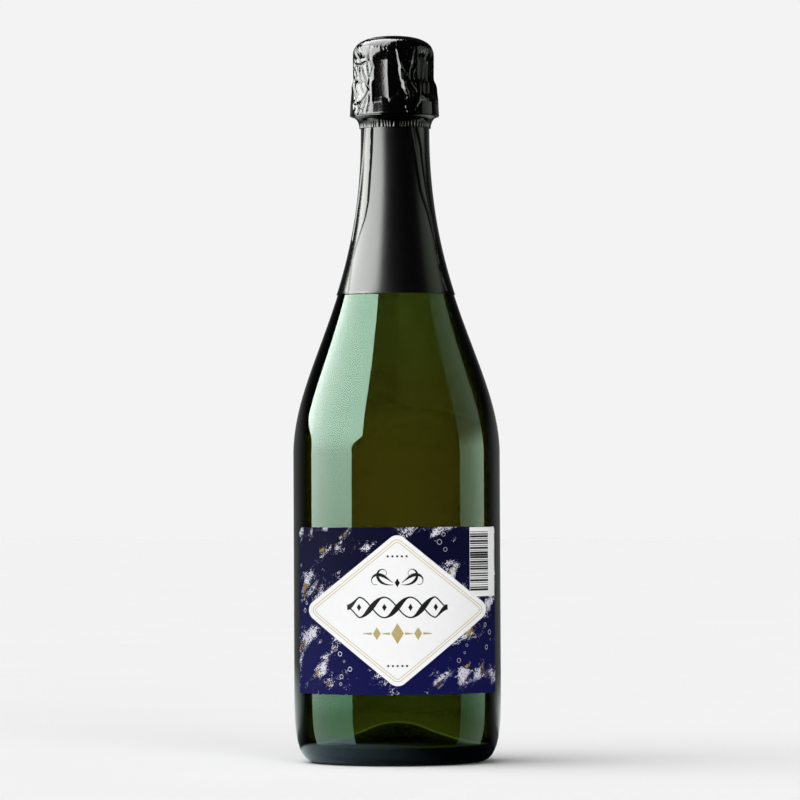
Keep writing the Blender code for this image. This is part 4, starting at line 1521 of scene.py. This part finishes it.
    def around_creases(self) -> list[Crease]:
        """The creases in front, and the same again, turned and shifted, round the sides and back."""
        folds = list(self.creases)
        for turn, shift, mirror in ((96.0, -0.8, -1.0), (180.0, 0.6, 1.0), (262.0, -0.3, -1.0)):
            for fold in self.creases:
                line = tuple((mirror * place + turn, height + shift) for place, height in fold.line)
                middle = (sum(place for place, _ in line) / len(line) + 180.0) % 360.0 - 180.0
                if abs(middle) > 92.0:
                    reach = fold.reach if mirror > 0 else fold.reach[::-1]
                    folds.append(Crease(line, fold.depth * 0.8, reach, fold.ends))
        return folds

    def dents(self, turns: np.ndarray, heights: np.ndarray, radii: np.ndarray) -> np.ndarray:
        """How far the foil sinks at each place, in metres, below zero where it stands out.

        Args:
            turns: the places' turns in degrees, from -180 to 180.
            heights: their heights in metres.
            radii: the foil's plain radius there, in metres.

        Returns:
            The depths.
        """
        cage, glass = self.cage, self.cage.cork.glass
        angle, up = np.radians(turns), heights * 1000.0
        across = angle * 17.0
        side = climb(self.top - heights, self.crown_height)
        legs = (1 + np.cos(cage.legs * (angle - cage.leg_turn))) / 2
        sink = np.maximum(0.0, 1 - legs / 0.65) * self.fold * side
        behind = climb(np.abs(turns + 8.0) - 84.0, 12.0)
        loop = near(angle, cage.loop_turn, self.bulge_turn)
        low = np.clip((glass.height - heights) / glass.lip_height - 1, 0.0, 1.0)
        rough = np.maximum(follow(turns, self.roughness), 0.8 * climb(up - 304.0, 2.5))
        tucked = near(angle, math.radians(-62), math.radians(34))
        rough = np.maximum(rough, 0.7 * climb(285.0 - up, 2.0) * tucked)
        wild, pleats = each(self.crumple, across, up), each(self.pleat, across, up)
        gather = np.exp(-((up - self.gather[0]) / self.gather[1]) ** 2)
        seam = climb(180.0 - np.abs(turns), 12.0)
        folds = sum(fold.dent(turns, up, radii * 1000.0) for fold in self.around_creases())
        flare = self.flare * climb(self.edge + self.flare_height - heights, self.flare_height) ** 1.5
        shape = folds + HoodPanels().depth(turns, up, radii * 1000.0)
        shape = shape * np.clip((up - 277.5) / 2.0, 0.35, 1.0) * 0.001
        small = (wild * rough * side + self.gather_depth * pleats * gather) * seam
        return sink * behind * (1 - loop) + shape + small - self.bulge * loop * low * behind - flare

    def pleat(self, across: float, up: float) -> float:
        """Fine upright pleats, from 0 to 1, for a place in millimetres."""
        return max(0.0, 1 - abs(cloud(across / 0.9, up / 9.0, 29.0)) * 3.0)

    def crumple(self, across: float, up: float) -> float:
        """How deep small random facets are, in metres, at a place in millimetres."""
        slant = 1 - abs(cloud((across + up * 0.45) / 2.9, up / 6.0, 11.0)) * 2.6
        upright = 1 - abs(cloud((across - up * 0.2) / 1.9, up / 7.0, 7.0)) * 2.6
        fine = abs(cloud(across / 1.3, up / 2.6, 19.0))
        return 0.00022 * max(0.0, upright) ** 2 + 0.00016 * max(0.0, slant) ** 2 + 0.00012 * fine

    def build(self, turned: bpy.types.NodeTree) -> None:
        """Make and dress the skirt and the top disc."""
        line = self.line()
        turns, heights, radii = crossing(line, np.linspace(-180.0, 180.0, self.columns, endpoint=False))
        aside = self.aside * climb(heights - self.tilt[0], self.tilt[1])
        sides = wrap(line, (0.0, self.foil), turns, -self.dents(turns, heights, radii), aside)
        skirt = double_sheet("foil_hood_creased", *sides, True, BlackFoil(FoilKind.HOOD).build(), 60.0)
        place_piece(skirt, Body.HOOD, Slot.FOIL, "foil_hood_skirt")
        under = crown(self.top + self.foil_gap, self.width, self.crown_height, self.disc_radius, 30)
        over = [(radius, height + self.foil) for radius, height in under]
        disc = grow("foil_top_disc_pressed", turned, turned_mesh([*over, *reversed(under)]),
                    BlackFoil(FoilKind.TOP).build(), Sides=160)
        for vertex in disc.data.vertices:
            vertex.co.x -= self.aside
        place_piece(disc, Body.HOOD, Slot.FOIL, "foil_top_disc")


@dataclass
class TearStrip:
    """The pleated strip that tears off round the neck, and its pointed tab."""

    hood: FoilHood
    height: float = 0.0052
    foil: float = 0.0002
    pleat_depth: float = 0.0003
    pleats: int = 66
    tab_width: float = 0.0095
    tab_tip: float = 0.0012
    tab_turn: float = math.radians(56)
    tab_reach_share: float = 0.7
    tab_rows: int = 20
    tab_columns: int = 17
    columns: int = 816
    rows: int = 18

    def __post_init__(self) -> None:
        """Work out where the strip starts and ends."""
        glass = self.hood.cage.cork.glass
        self.gap = self.hood.cage.gap
        self.top = self.hood.edge - self.gap
        self.foot = self.top - self.height
        self.radius = glass.neck_radius + self.hood.foil_gap + self.foil + self.pleat_depth

    def line(self, reach_share: float = 1.0, steps: int = 17) -> np.ndarray:
        """The strip's outer side, flaring from the neck up towards the hood's edge."""
        flare = self.hood.edge_radius - self.radius - self.foil
        center = (self.radius + self.foil + flare, self.foot)
        return np.array(arc(center, flare, self.height, 180, 180 - 90 * reach_share, steps))

    def pleat(self, turn: float, low: float, height: float) -> float:
        """How deep the pleats and ripples are at a place.

        Args:
            turn: the place's turn in radians.
            low: how far down the strip it lies, from 0 to 1.
            height: its height in metres.

        Returns:
            The depth in metres.
        """
        pleated = min(1.0, max(0.0, (low - 0.42) / 0.2))
        drift = 3.4 * cloud(math.cos(turn) * 4.0, math.sin(turn) * 4.0, height * 160.0)
        wave = (1 - math.cos(self.pleats * turn + drift)) / 2
        bold = cloud(math.cos(turn) * 9.0, math.sin(turn) * 9.0, 3.0)
        ripple = 0.00005 * math.sin(low * 34.0) * (1 - pleated)
        return min(self.pleat_depth * pleated * wave * (0.8 + 0.6 * bold) + ripple, self.pleat_depth)

    def strip(self, material: bpy.types.Material) -> None:
        """Make and dress the pleated ring."""
        line = self.line(steps=self.rows - 1)
        lows = [min(1.0, max(0.0, 1 - (height - self.foot) / self.height)) for _, height in line]
        turns = [2 * math.pi * column / self.columns for column in range(self.columns)]
        sides = []
        for inward in (0.0, self.foil):
            moved = zip(offset(line, -inward), lows)
            sides.append(np.array([[tuple(around(turn, radius - self.pleat(turn, low, height), height))
                                    for turn in turns] for (radius, height), low in moved]))
        piece = double_sheet("foil_tear_strip_pleated", *sides, True, material, 70.0)
        place_piece(piece, Body.STRIP, Slot.FOIL, "foil_tear_strip")

    def tab(self, material: bpy.types.Material) -> None:
        """Make and dress the pointed tab, with its edges lifted a little."""
        sides, asides = [], 2.0 * np.arange(self.tab_columns) / (self.tab_columns - 1) - 1.0
        for out in (self.gap + self.foil, self.gap):
            line = offset(self.line(self.tab_reach_share, self.tab_rows), out)
            points = np.empty((self.tab_rows + 1, self.tab_columns, 3))
            for row, (radius, height) in enumerate(line):
                share = row / self.tab_rows
                half = (self.tab_tip + (self.tab_width - self.tab_tip) * share ** 0.8) / 2
                for column, aside in enumerate(asides):
                    lift = max(0.0, 0.00012 * aside ** 2 + 0.00006 * math.sin(9.0 * aside + 5.0 * share))
                    points[row, column] = around(self.tab_turn + half * aside / radius, radius + lift, height)
            sides.append(points)
        piece = double_sheet("foil_pull_tab_curled", *sides, False, material, 60.0)
        place_piece(piece, Body.STRIP, Slot.FOIL, "foil_pull_tab")

    def build(self) -> None:
        """Make and dress the strip and its tab."""
        material = BlackFoil(FoilKind.STRIP).build()
        self.strip(material)
        self.tab(material)


@dataclass
class NeckSleeve:
    """The smooth foil round the neck and the top of the shoulder, with long folds down its sides."""

    strip: TearStrip
    length: float = 0.0719
    foil: float = 0.0002
    hem: float = 0.00012
    hem_height: float = 0.0005
    wave: float = 0.00005
    slit: float = 0.0001
    rows: int = 130
    spans: tuple = ((-84.0, -36.0, 0.6), (-36.0, 22.0, 2.9), (22.0, 70.0, 0.6), (70.0, 276.0, 2.06))
    folds: tuple[Crease, ...] = (
        Crease(((-43, 273.0), (-44, 262.0), (-45, 253.7), (-45, 241.6), (-48, 234.1), (-54, 227.7),
                (-58, 222.3), (-60, 215.9), (-53, 201.5)), -0.78, (1.1, 0.6), (1.0, 0.4)),
        Crease(((-60, 273.0), (-67, 260.5), (-72, 249.8), (-75, 236.0), (-74, 224.7)), -0.46, (0.8, 0.5),
               (1.0, 0.6)),
        Crease(((27, 273.0), (36, 260.1), (43, 245.9), (53, 236.3), (57, 228.8), (60, 221.3), (58, 211.5),
                (61, 203.0)), -0.62, (0.8, 1.2), (0.9, 0.5)),
        Crease(((40, 273.0), (48, 265.4), (52, 254.6), (57, 242.9), (61, 233.2), (62, 226.3), (57, 216.9),
                (58, 206.8)), -0.50, (0.6, 1.0), (1.0, 0.4)),
        Crease(((138, 273.0), (134, 250.0), (140, 226.0), (136, 206.0)), -0.26, (0.9, 0.9), (1.0, 0.5)),
        Crease(((-150, 273.0), (-146, 246.0), (-151, 218.0)), -0.24, (0.9, 0.9), (1.0, 0.4)),
    )

    def waves(self, angle: float, height: float) -> float:
        """How far slight waves lift the foil at a place."""
        return self.wave + self.wave * cloud(math.cos(angle) * 1.6, math.sin(angle) * 1.6, height * 22.0)

    def build(self) -> None:
        """Make and dress the sleeve, with slight waves and a rolled hem."""
        glass = self.strip.hood.cage.cork.glass
        top = self.strip.foot - self.slit
        start = glass.share_at(top - self.length)
        line = glass.curve(glass.body_radius, glass.neck_radius, start, 1.0, 120)
        line = spaced([*line, (glass.neck_radius, top)], self.rows)
        turns = np.concatenate([np.arange(*span) for span in self.spans])
        turns, heights, radii = crossing(line, (turns + 180.0) % 360.0 - 180.0)
        lift = sum(-0.001 * fold.dent(turns, heights * 1000.0, radii * 1000.0) for fold in self.folds)
        lift += self.hem * np.exp(-((heights - line[0][1]) / self.hem_height) ** 2)
        lift += each(self.waves, np.radians(turns), heights)
        gap = self.strip.hood.foil_gap
        sides = wrap(line, (gap + self.foil, gap), turns, lift)
        piece = double_sheet("foil_neck_sleeve_smooth", *sides, True, BlackFoil(FoilKind.SLEEVE).build())
        place_piece(piece, Body.BOTTLE, Slot.FOIL, "foil_neck_sleeve")


@dataclass
class Label:
    """The printed label wrapped round the front, sizes along the paper."""

    glass: Glass
    width: float = 0.1073
    height: float = 0.0710
    foot: float = 0.0304
    gap: float = 0.0002
    paper: float = 0.0002
    ink: float = 0.00002
    corner: float = 0.0012
    columns: int = 192
    rows: int = 60
    panel: tuple[float, float, float, float] = (0.0341, 0.0531, 0.0413, 0.0708)
    panel_corner: float = 0.0016
    bars: int = 26
    bar_width: float = 0.0126
    bars_margin: float = 0.0039
    bars_foot: float = 0.0029
    bars_aside: float = 0.0030
    streams: tuple = ((-0.049, 0.004), (-0.040, -0.006), (-0.024, -0.027), (0.030, -0.030), (0.047, -0.012),
                      (0.021, 0.030))
    stream_bubbles: int = 7
    stream_pitch: float = 0.0032
    bubble_radius: float = 0.00085
    bubble_line: float = 0.00010
    seed: int = 7

    @property
    def face(self) -> float:
        """The radius of the printed side."""
        return self.glass.body_radius + self.gap + self.paper

    def bend(self, x: float, up: float, out: float = 0.0) -> Vector:
        """A place on the label, from its middle across and from its foot up."""
        return around(x / self.face, self.face + out, self.foot + up)

    def sheet(self) -> None:
        """Make and dress the paper, with its corners rounded."""
        sides = []
        for out in (0.0, -self.paper):
            points = np.empty((self.rows + 1, self.columns + 1, 3))
            for column in range(self.columns + 1):
                x = self.width * (column / self.columns - 0.5)
                past = max(0.0, abs(x) - (self.width / 2 - self.corner))
                cut = self.corner - math.sqrt(max(0.0, self.corner ** 2 - past ** 2))
                for row in range(self.rows + 1):
                    points[row, column] = self.bend(x, cut + (self.height - 2 * cut) * row / self.rows, out)
            sides.append(points)
        piece = double_sheet("front_label_printed", *sides, False, LabelPaper().build(), 60.0)
        layer = piece.data.uv_layers["UVMap"]
        for loop in piece.data.loops:
            place = piece.data.vertices[loop.vertex_index].co
            turn = math.atan2(place.x, -place.y)
            along, up = turn * self.face / self.width + 0.5, (place.z - self.foot) / self.height
            layer.data[loop.index].uv = (along, up)
        place_piece(piece, Body.BOTTLE, Slot.PAPER, "front_label")

    def patch(self, name: str, outline: Outline, material: bpy.types.Material) -> bpy.types.Object:
        """A flat printed shape bent round the label.

        Args:
            name: the piece's name.
            outline: its corners across and up the label, in metres.
            material: the ink.

        Returns:
            The new object.
        """
        flat = bmesh.new()
        flat.faces.new([flat.verts.new((x, up, 0.0)) for x, up in outline])
        bmesh.ops.triangulate(flat, faces=flat.faces)
        low, high = min(x for x, _ in outline), max(x for x, _ in outline)
        for cut in np.arange(low, high, 0.0008)[1:]:
            geometry = flat.verts[:] + flat.edges[:] + flat.faces[:]
            bmesh.ops.bisect_plane(flat, geom=geometry, plane_co=(cut, 0, 0), plane_no=(1, 0, 0))
        thick = bmesh.ops.extrude_face_region(flat, geom=flat.faces[:])
        top = {vertex for vertex in thick["geom"] if isinstance(vertex, bmesh.types.BMVert)}
        for vertex in flat.verts:
            vertex.co = self.bend(vertex.co.x, vertex.co.y, self.ink if vertex in top else 0.0)
        mesh = bpy.data.meshes.new(name)
        flat.to_mesh(mesh)
        flat.free()
        tidy(mesh, material, 40.0)
        return linked(name, mesh)

    def striped_panel(self, bars: bpy.types.NodeTree, white: bpy.types.Material,
                      black: bpy.types.Material) -> None:
        """Make and dress the white panel at the right, with plain bars of random thickness."""
        left, right, low, high = self.panel
        radius = self.panel_corner
        corner = arc((right - radius, high - radius), radius, radius, 0, 90, 8)
        panel = self.patch("label_white_panel", [(left, low), (right, low), *corner, (left, high)], white)
        place_piece(panel, Body.BOTTLE, Slot.PAPER)
        pitch = (high - low - self.bars_margin) / self.bars
        column = grow("label_panel_bars", bars, mesh_of("start", [(0, 0, 0)]), black, Bars=self.bars,
                      Pitch=pitch, Bar_Width=self.bar_width, Ink=self.ink,
                      Radius=self.face + 1.6 * self.ink, Seed=self.seed)
        middle = (left + right) / 2 - self.bars_aside
        for vertex in column.data.vertices:
            x, y, height = vertex.co
            turn = math.atan2(x, -y) + middle / self.face
            vertex.co = around(turn, math.hypot(x, y), height + self.foot + low + self.bars_foot)
        place_piece(column, Body.BOTTLE, Slot.PAPER)

    def bubbles(self, tree: bpy.types.NodeTree, silver: bpy.types.Material) -> None:
        """Make and dress the fine printed bubbles that rise round the lozenge."""
        random = np.random.default_rng(self.seed)
        points = []
        for start_x, start_up in self.streams:
            for step in range(self.stream_bubbles):
                x = start_x + 0.0022 * math.sin(step * 1.9 + start_up * 90) + random.uniform(-0.001, 0.001)
                up = start_up + self.stream_pitch * step - 0.004
                on_paper = abs(x) < 0.0535 and abs(up) < 0.0335
                off_lozenge = abs(x) / 0.0465 + abs(up) / 0.0330 > 1.03
                off_panel = not (x > 0.033 and up > 0.004)
                if on_paper and off_lozenge and off_panel:
                    points.append((x, 0.0, up))
        piece = grow("label_printed_bubbles", tree, mesh_of("places", points), silver,
                     Bubble_Radius=self.bubble_radius, Line=self.bubble_line, Radius=self.face,
                     Seed=self.seed)
        for vertex in piece.data.vertices:
            vertex.co.z += self.foot + self.height / 2
        place_piece(piece, Body.BOTTLE, Slot.PAPER)

    def build(self, bars: bpy.types.NodeTree, bubbles: bpy.types.NodeTree) -> None:
        """Make and dress the paper and everything printed on it."""
        black = Ink("ink_black", (0.012, 0.012, 0.014)).build()
        white = Ink("ink_white", (0.90, 0.90, 0.90), 0.55).build()
        gold = Ink("ink_gold", (0.50, 0.40, 0.17), 0.45).build()
        silver = Ink("ink_silver", (0.55, 0.55, 0.62), 0.4, 0.3).build()
        self.sheet()
        self.striped_panel(bars, white, black)
        self.bubbles(bubbles, silver)
        ornament = Scrollwork(LabelPaper().lozenge_center[0] / 1000.0, self.height / 2)
        for ink, shapes in ((black, ornament.scrolls()), (black, ornament.twists()), (black, ornament.eyes()),
                            (black, ornament.stones(0, 1)), (gold, ornament.stones(1, 4)),
                            (gold, ornament.gold_lines()), (black, ornament.dots())):
            for name, outline in shapes.items():
                place_piece(self.patch(name, outline, ink), Body.BOTTLE, Slot.PAPER)


def stroke(path: np.ndarray, swell: Callable[[float], float]) -> Outline:
    """The outline of a pen stroke along a path.

    Args:
        path: points across and up.
        swell: half the stroke's width at a share of its length.

    Returns:
        The outline's corners.
    """
    along = np.gradient(path, axis=0)
    along /= np.linalg.norm(along, axis=1)[:, None]
    half = np.array([swell(share) for share in np.linspace(0, 1, len(path))])[:, None]
    side = np.stack([-along[:, 1], along[:, 0]], 1) * half
    return [tuple(point) for point in (*(path + side), *reversed(path - side))]


@dataclass(frozen=True)
class Curl:
    """A scroll's path: its heading in radians changes by bends, each over its part of the length."""

    start: tuple[float, float]
    heading: float
    length: float
    bends: tuple[float, ...]
    half: float

    def path(self, steps: int = 90) -> np.ndarray:
        """The path's points, across and up in metres."""
        shares = np.linspace(0, 1, steps)
        curvature = np.interp(shares, np.linspace(0, 1, len(self.bends)), self.bends)
        angle = self.heading + np.cumsum(curvature) / steps
        moves = np.stack([np.cos(angle), np.sin(angle)], 1) * self.length / steps
        return np.array(self.start) + np.cumsum(moves, axis=0)

    def swell(self, share: float) -> float:
        """Half the stroke's width, fullest towards its middle."""
        return self.half * (0.18 + 0.82 * math.sin(math.pi * min(1, share * 1.15 + 0.02)) ** 2)


@dataclass(frozen=True)
class Scrollwork:
    """The plain scrollwork in the lozenge: black scrolls, and a gold row below them.

    Its middle is x across and up above the label's foot; the other places are measured from there.
    """

    x: float
    up: float
    curls: tuple[Curl, ...] = (
        Curl((0.0018, 0.0090), 0.55, 0.0150, (1.5, -2.0, -6.0, -10.0), 0.00070),
        Curl((0.0016, 0.0082), -0.10, 0.0170, (1.0, 3.0, 5.0, 9.0, 13.0), 0.00060),
    )
    curls_up: float = 0.0030
    twist_half: float = 0.0222
    twist_height: float = 0.0043
    twist_up: float = 0.0016
    loops: int = 4
    eye: tuple[float, float] = (0.0010, 0.0016)
    stone_shapes: tuple = ((0.0, 0.0120, 0.0011, 0.0019), (0.0, -0.0095, 0.0027, 0.0044),
                           (0.0088, -0.0095, 0.0017, 0.0027), (-0.0088, -0.0095, 0.0017, 0.0027))
    line_spans: tuple = ((0.0032, 0.0066), (0.0110, 0.0150))
    line_up: float = -0.0095
    dot: float = 0.00048
    dot_rows: tuple = (0.0232, -0.0232)
    dot_places: tuple = (-0.0040, -0.0020, 0.0, 0.0020, 0.0040)

    def diamond(self, x: float, up: float, wide: float, tall: float, corners: int = 4) -> Outline:
        """A diamond about a place, or a rounder shape with more corners."""
        return [(x + self.x + wide * math.cos(angle), self.up + up + tall * math.sin(angle))
                for angle in np.linspace(0, 2 * math.pi, corners, endpoint=False)]

    def scrolls(self) -> dict[str, Outline]:
        """The scrolls, each with its mirror image."""
        middle = np.array([self.x, self.up + self.curls_up])
        return {f"label_scroll_{number}_{hand}": stroke(
                    curl.path() * np.array([side, 1.0]) + middle, curl.swell)
                for number, curl in enumerate(self.curls, 1) for hand, side in HANDS}

    def twists(self) -> dict[str, Outline]:
        """Two strands wound round each other, each thicker where it crosses in front."""
        shares = np.linspace(0.0, 1.0, 240)
        across = (shares - 0.5) * 2 * self.twist_half
        strands = {}
        for number, side in enumerate((1, -1), 1):
            up = side * self.twist_height * np.sin(shares * self.loops * math.pi)
            up = up * np.minimum(1.0, 9.0 * shares * (1 - shares))
            path = np.stack([across + self.x, up + self.up + self.twist_up], 1)
            strands[f"label_twist_{number}"] = stroke(path, lambda share, side=side: (
                0.00030 + 0.00085 * max(0.0, side * math.cos(share * self.loops * math.pi)) ** 2))
        return strands

    def eyes(self) -> dict[str, Outline]:
        """A diamond in each opening between the strands."""
        return {f"label_eye_{number + 1}": self.diamond(
                    self.twist_half * ((2 * number + 1) / self.loops - 1), self.twist_up, *self.eye)
                for number in range(self.loops)}

    def stones(self, first: int, end: int) -> dict[str, Outline]:
        """The larger diamonds, from one number up to another."""
        return {f"label_stone_{number + 1}": self.diamond(*self.stone_shapes[number])
                for number in range(first, end)}

    def gold_lines(self) -> dict[str, Outline]:
        """Tapering lines beside the gold diamonds."""
        return {f"label_gold_line_{number}_{hand}": stroke(
                    np.array([[side * x + self.x, self.up + self.line_up] for x in np.linspace(*span, 24)]),
                    lambda share: 0.00045 * (1 - share) ** 0.6 + 0.00005)
                for hand, side in HANDS for number, span in enumerate(self.line_spans, 1)}

    def dots(self) -> dict[str, Outline]:
        """A row of dots at the top and one at the foot."""
        return {f"label_dot_{row}_{number}": self.diamond(x, up, self.dot, self.dot, 20)
                for row, up in enumerate(self.dot_rows, 1) for number, x in enumerate(self.dot_places, 1)}


# Stage


@dataclass(frozen=True)
class Softbox:
    """A tall lamp that shows in gloss alone.

    Its turns are those of its near and its far edge in degrees, high up and low down. Its strength
    up is at the floor, at the shoulder and above it; across, it is at the near and the far edge.
    """

    name: str
    turns: tuple[float, float]
    low_turns: tuple[float, float]
    up: tuple[float, float, float]
    across: tuple[float, float]
    color: Color
    strength: float


@dataclass
class Studio:
    """Floor, light and camera, as the photograph has them."""

    distance: float = 2.25
    eye_height: float = 0.12
    aim: tuple[float, float] = (0.0016, 0.1560)
    view_width: float = 0.3456
    lean: float = math.radians(-0.26)
    paper: float = 0.896
    fill: float = 0.14
    suns: tuple = (
        ("soft_key", 15.0, 62.0, 80.0, 0.95),
        ("soft_front", 113.0, 12.0, 30.0, 0.42),
    )
    softboxes: tuple[Softbox, ...] = (
        Softbox("softbox_left", (-38.0, -124.0), (-50.0, -107.5), (0.36, 1.0, 1.15), (1.0, 0.95),
                (0.98, 1.0, 0.97), 9.8),
        Softbox("softbox_right", (73.0, 112.0), (73.5, 112.0), (0.5, 1.0, 0.24), (0.55, 1.0),
                (0.90, 1.0, 0.84), 3.4),
    )
    top_size: tuple[float, float] = (1.75, 1.15)
    top_place: tuple[float, float, float] = (-0.58, 0.25, 1.45)
    top_aim: tuple[float, float, float] = (0.0, 0.0, 0.3)
    top_strength: float = 7.0
    floor_size: float = 9.0
    floor_level: float = -0.00015
    # painted reflection colours of the floor near the foot: lit bluish at the left, painted shade at the
    # right
    lit_floor_reflection: Color = (0.80, 0.92, 0.98)
    shaded_floor_reflection: Color = (0.02, 0.025, 0.035)
    reach: float = 0.95
    span: tuple[float, float] = (-0.45, 0.95)

    def world(self) -> None:
        """A pale room: even light on matt surfaces, paper white behind, dim in reflections."""
        world = bpy.data.worlds.new("pale_room")
        bpy.context.scene.world = world
        world.use_nodes = True
        tree = Tree(world.node_tree)
        path = tree.add("ShaderNodeLightPath").outputs
        _, y, up = tree.split(tree.add("ShaderNodeTexCoord").outputs["Generated"])
        behind = y.ease(0.50, 0.85, 0.0, 0.17) * up.away().ease(0.04, 0.22, 1.0, 0.10) + 0.002
        grey = tree.add("ShaderNodeCombineColor", {0: behind, 1: behind, 2: behind}).outputs[0]
        color = tree.blend(path["Is Glossy Ray"], (self.fill,) * 3, grey)
        for ray in ("Is Transmission Ray", "Is Camera Ray"):
            color = tree.blend(path[ray], color, (self.paper,) * 3)
        tree.wire(world.node_tree.nodes["Background"], Color=color)

    def floor(self) -> None:
        """A wide pale floor that keeps the bottle's shadow; in reflections it ends near the foot, where its
        colour is a painted reflection, lit at the left and painted shade at the right.
        """
        material = bpy.data.materials.new("pale_floor")
        material.use_nodes = True
        nodes = material.node_tree.nodes
        nodes.remove(nodes["Principled BSDF"])
        tree = Tree(material.node_tree)
        x, y, _ = tree.split(tree.places())
        away = length_of(x, y)
        tone = tree.noise(tree.places(), 9.0, 4.0).ease(0.2, 0.8, 0.985, 1.0)
        glossy = Field(tree, tree.add("ShaderNodeLightPath").outputs["Is Glossy Ray"])
        paper = tree.blend(tone, (0.0, 0.0, 0.0), (self.floor_tone,) * 3)
        # painted reflection: in gloss near the foot the floor is lit bluish at the left and painted dark at
        # the right, as the bottle's shade would leave it
        dim = tree.blend(x.ease(-0.055, 0.03), self.lit_floor_reflection, self.shaded_floor_reflection)
        behind = (y / away).ease(0.50, 0.92) * away.ease(0.35, 1.4, 1.0, 0.0) * away.ease(0.1, 0.2)
        dim = tree.blend(behind, dim, (self.floor_tone,) * 3)
        matt = tree.add("ShaderNodeBsdfDiffuse", {"Color": tree.blend(glossy, paper, dim)})
        clear = tree.add("ShaderNodeBsdfTransparent")
        hidden = away.ease(0.058, 0.066) * glossy * behind.rest()
        mixed = tree.add("ShaderNodeMixShader", {0: hidden, 1: matt.outputs[0], 2: clear.outputs[0]})
        tree.wire(nodes["Material Output"], Surface=mixed.outputs[0])
        corners = [(side_x * self.floor_size, side_y * self.floor_size, self.floor_level)
                   for side_x, side_y in ((-1, -1), (1, -1), (1, 1), (-1, 1))]
        piece = surface("floor", corners, [(0, 1, 2, 3)], material)

    @property
    def floor_tone(self) -> float:
        """The floor's own colour, which the light brings to the backdrop's tone."""
        light = sum(strength * math.sin(math.radians(up)) for _, _, up, _, strength in self.suns)
        return self.paper / (self.fill + light)

    def gradient(self, lamp: bpy.types.Light, ends: Sequence[Vector], box: Softbox) -> None:
        """Let a softbox dim towards its foot and its near edge, and narrow below the shoulder.

        Args:
            lamp: the lamp.
            ends: its near and its far end.
            box: how it dims and narrows.
        """
        lamp.use_nodes = True
        tree = Tree(lamp.node_tree)
        _, place, height = tree.split(tree.add("ShaderNodeNewGeometry").outputs["Position"])
        low, middle, above = box.up
        rise = (height * ((1.0 - low) / 0.22) + (low + 0.02)).least(middle).most(low * 0.7)
        rise = rise * height.ease(0.16, 0.34, 1.0, above)
        along = ends[1] - ends[0]
        marks = []
        for turn in box.low_turns:
            aim = around(math.radians(turn), 1.0, 0.0)
            share = (ends[0].x * aim.y - ends[0].y * aim.x) / (along.y * aim.x - along.x * aim.y)
            marks.append(ends[0].y + along.y * share)
        high = height.ease(0.20, 0.36)
        near_edge, far_edge = (high * (end.y - mark) + mark for end, mark in zip(ends, marks))
        inside = (place - near_edge).ease(-0.01, 0.01)
        inside = inside * (place - far_edge).ease(-0.01, 0.01, 1.0, 0.0)
        side = place.ease(marks[0], marks[1], *box.across)
        tree.wire(lamp.node_tree.nodes["Emission"], Strength=rise * side * inside)

    def place_lamp(self, lamp: bpy.types.Light, place: Vector, target: Vector,
                   hidden: Sequence[str]) -> None:
        """Hang a lamp, aim it and hide it from kinds of ray."""
        holder = linked(lamp.name, lamp)
        holder.location = place
        holder.rotation_euler = (target - place).to_track_quat("-Z", "Y").to_euler()
        for kind in hidden:
            setattr(holder, f"visible_{kind}", False)

    def softbox(self, name: str, size: tuple[float, float], strength: float,
                color: Color = (1.0, 1.0, 1.0)) -> bpy.types.Light:
        """A rectangular lamp whose power follows its size."""
        lamp = bpy.data.lights.new(name, "AREA")
        lamp.shape = "RECTANGLE"
        lamp.color = color
        lamp.size, lamp.size_y = size
        lamp.energy = strength * math.pi * lamp.size * lamp.size_y
        return lamp

    def lamps(self) -> None:
        """Tall softboxes that show in gloss alone, and wide soft suns that light matt surfaces."""
        low, high = self.span
        unseen = ("diffuse", "camera", "transmission")
        for box in self.softboxes:
            ends = [around(math.radians(turn), self.reach, (low + high) / 2) for turn in box.turns]
            middle = (ends[0] + ends[1]) / 2
            size = ((ends[0] - ends[1]).length, high - low)
            lamp = self.softbox(box.name, size, box.strength, box.color)
            self.gradient(lamp, ends, box)
            self.place_lamp(lamp, middle, Vector((0.0, 0.0, middle.z)), unseen)
        top = self.softbox("softbox_top", self.top_size, self.top_strength)
        self.place_lamp(top, Vector(self.top_place), Vector(self.top_aim), unseen)
        for name, turn, up, spread, strength in self.suns:
            sun = bpy.data.lights.new(name, "SUN")
            sun.energy = strength * math.pi
            sun.angle = math.radians(spread)
            side, rise = math.radians(turn), math.radians(up)
            level = -math.cos(rise)
            place = Vector((level * math.cos(side), level * math.sin(side), math.sin(rise)))
            self.place_lamp(sun, place, Vector((0.0, 0.0, 0.0)), ("glossy", "transmission"))

    def camera(self) -> None:
        """The photograph's view: low, level and from far off."""
        data = bpy.data.cameras.new("camera")
        data.sensor_width = 36.0
        data.lens = 36.0 * self.distance / self.view_width
        camera = linked("camera", data)
        x, height = self.aim
        camera.location = (x, -self.distance, self.eye_height)
        look = Vector((0.0, self.distance, height - self.eye_height))
        turn = look.to_track_quat("-Z", "Y").to_matrix().to_4x4()
        camera.rotation_euler = (turn @ Matrix.Rotation(self.lean, 4, "Z")).to_euler()
        bpy.context.scene.camera = camera

    def build(self) -> None:
        """Set the stage."""
        bpy.context.scene.view_settings.view_transform = "Standard"
        self.world()
        self.floor()
        self.lamps()
        self.camera()


def main() -> None:
    """Build the stage and then every sub-assembly, from the glass outwards."""
    logging.basicConfig(level=logging.INFO, format="%(message)s")
    Studio().build()
    turned, wire = turned_tree(), wire_tree()
    glass = Glass()
    glass.build(turned)
    cork = Cork(glass)
    cork.build(turned)
    cage = WireCage(cork)
    cage.build(turned, wire)
    hood = FoilHood(cage)
    hood.build(turned)
    strip = TearStrip(hood)
    strip.build()
    NeckSleeve(strip).build()
    Label(glass).build(bars_tree(), bubbles_tree())


if __name__ == "__main__":
    main()
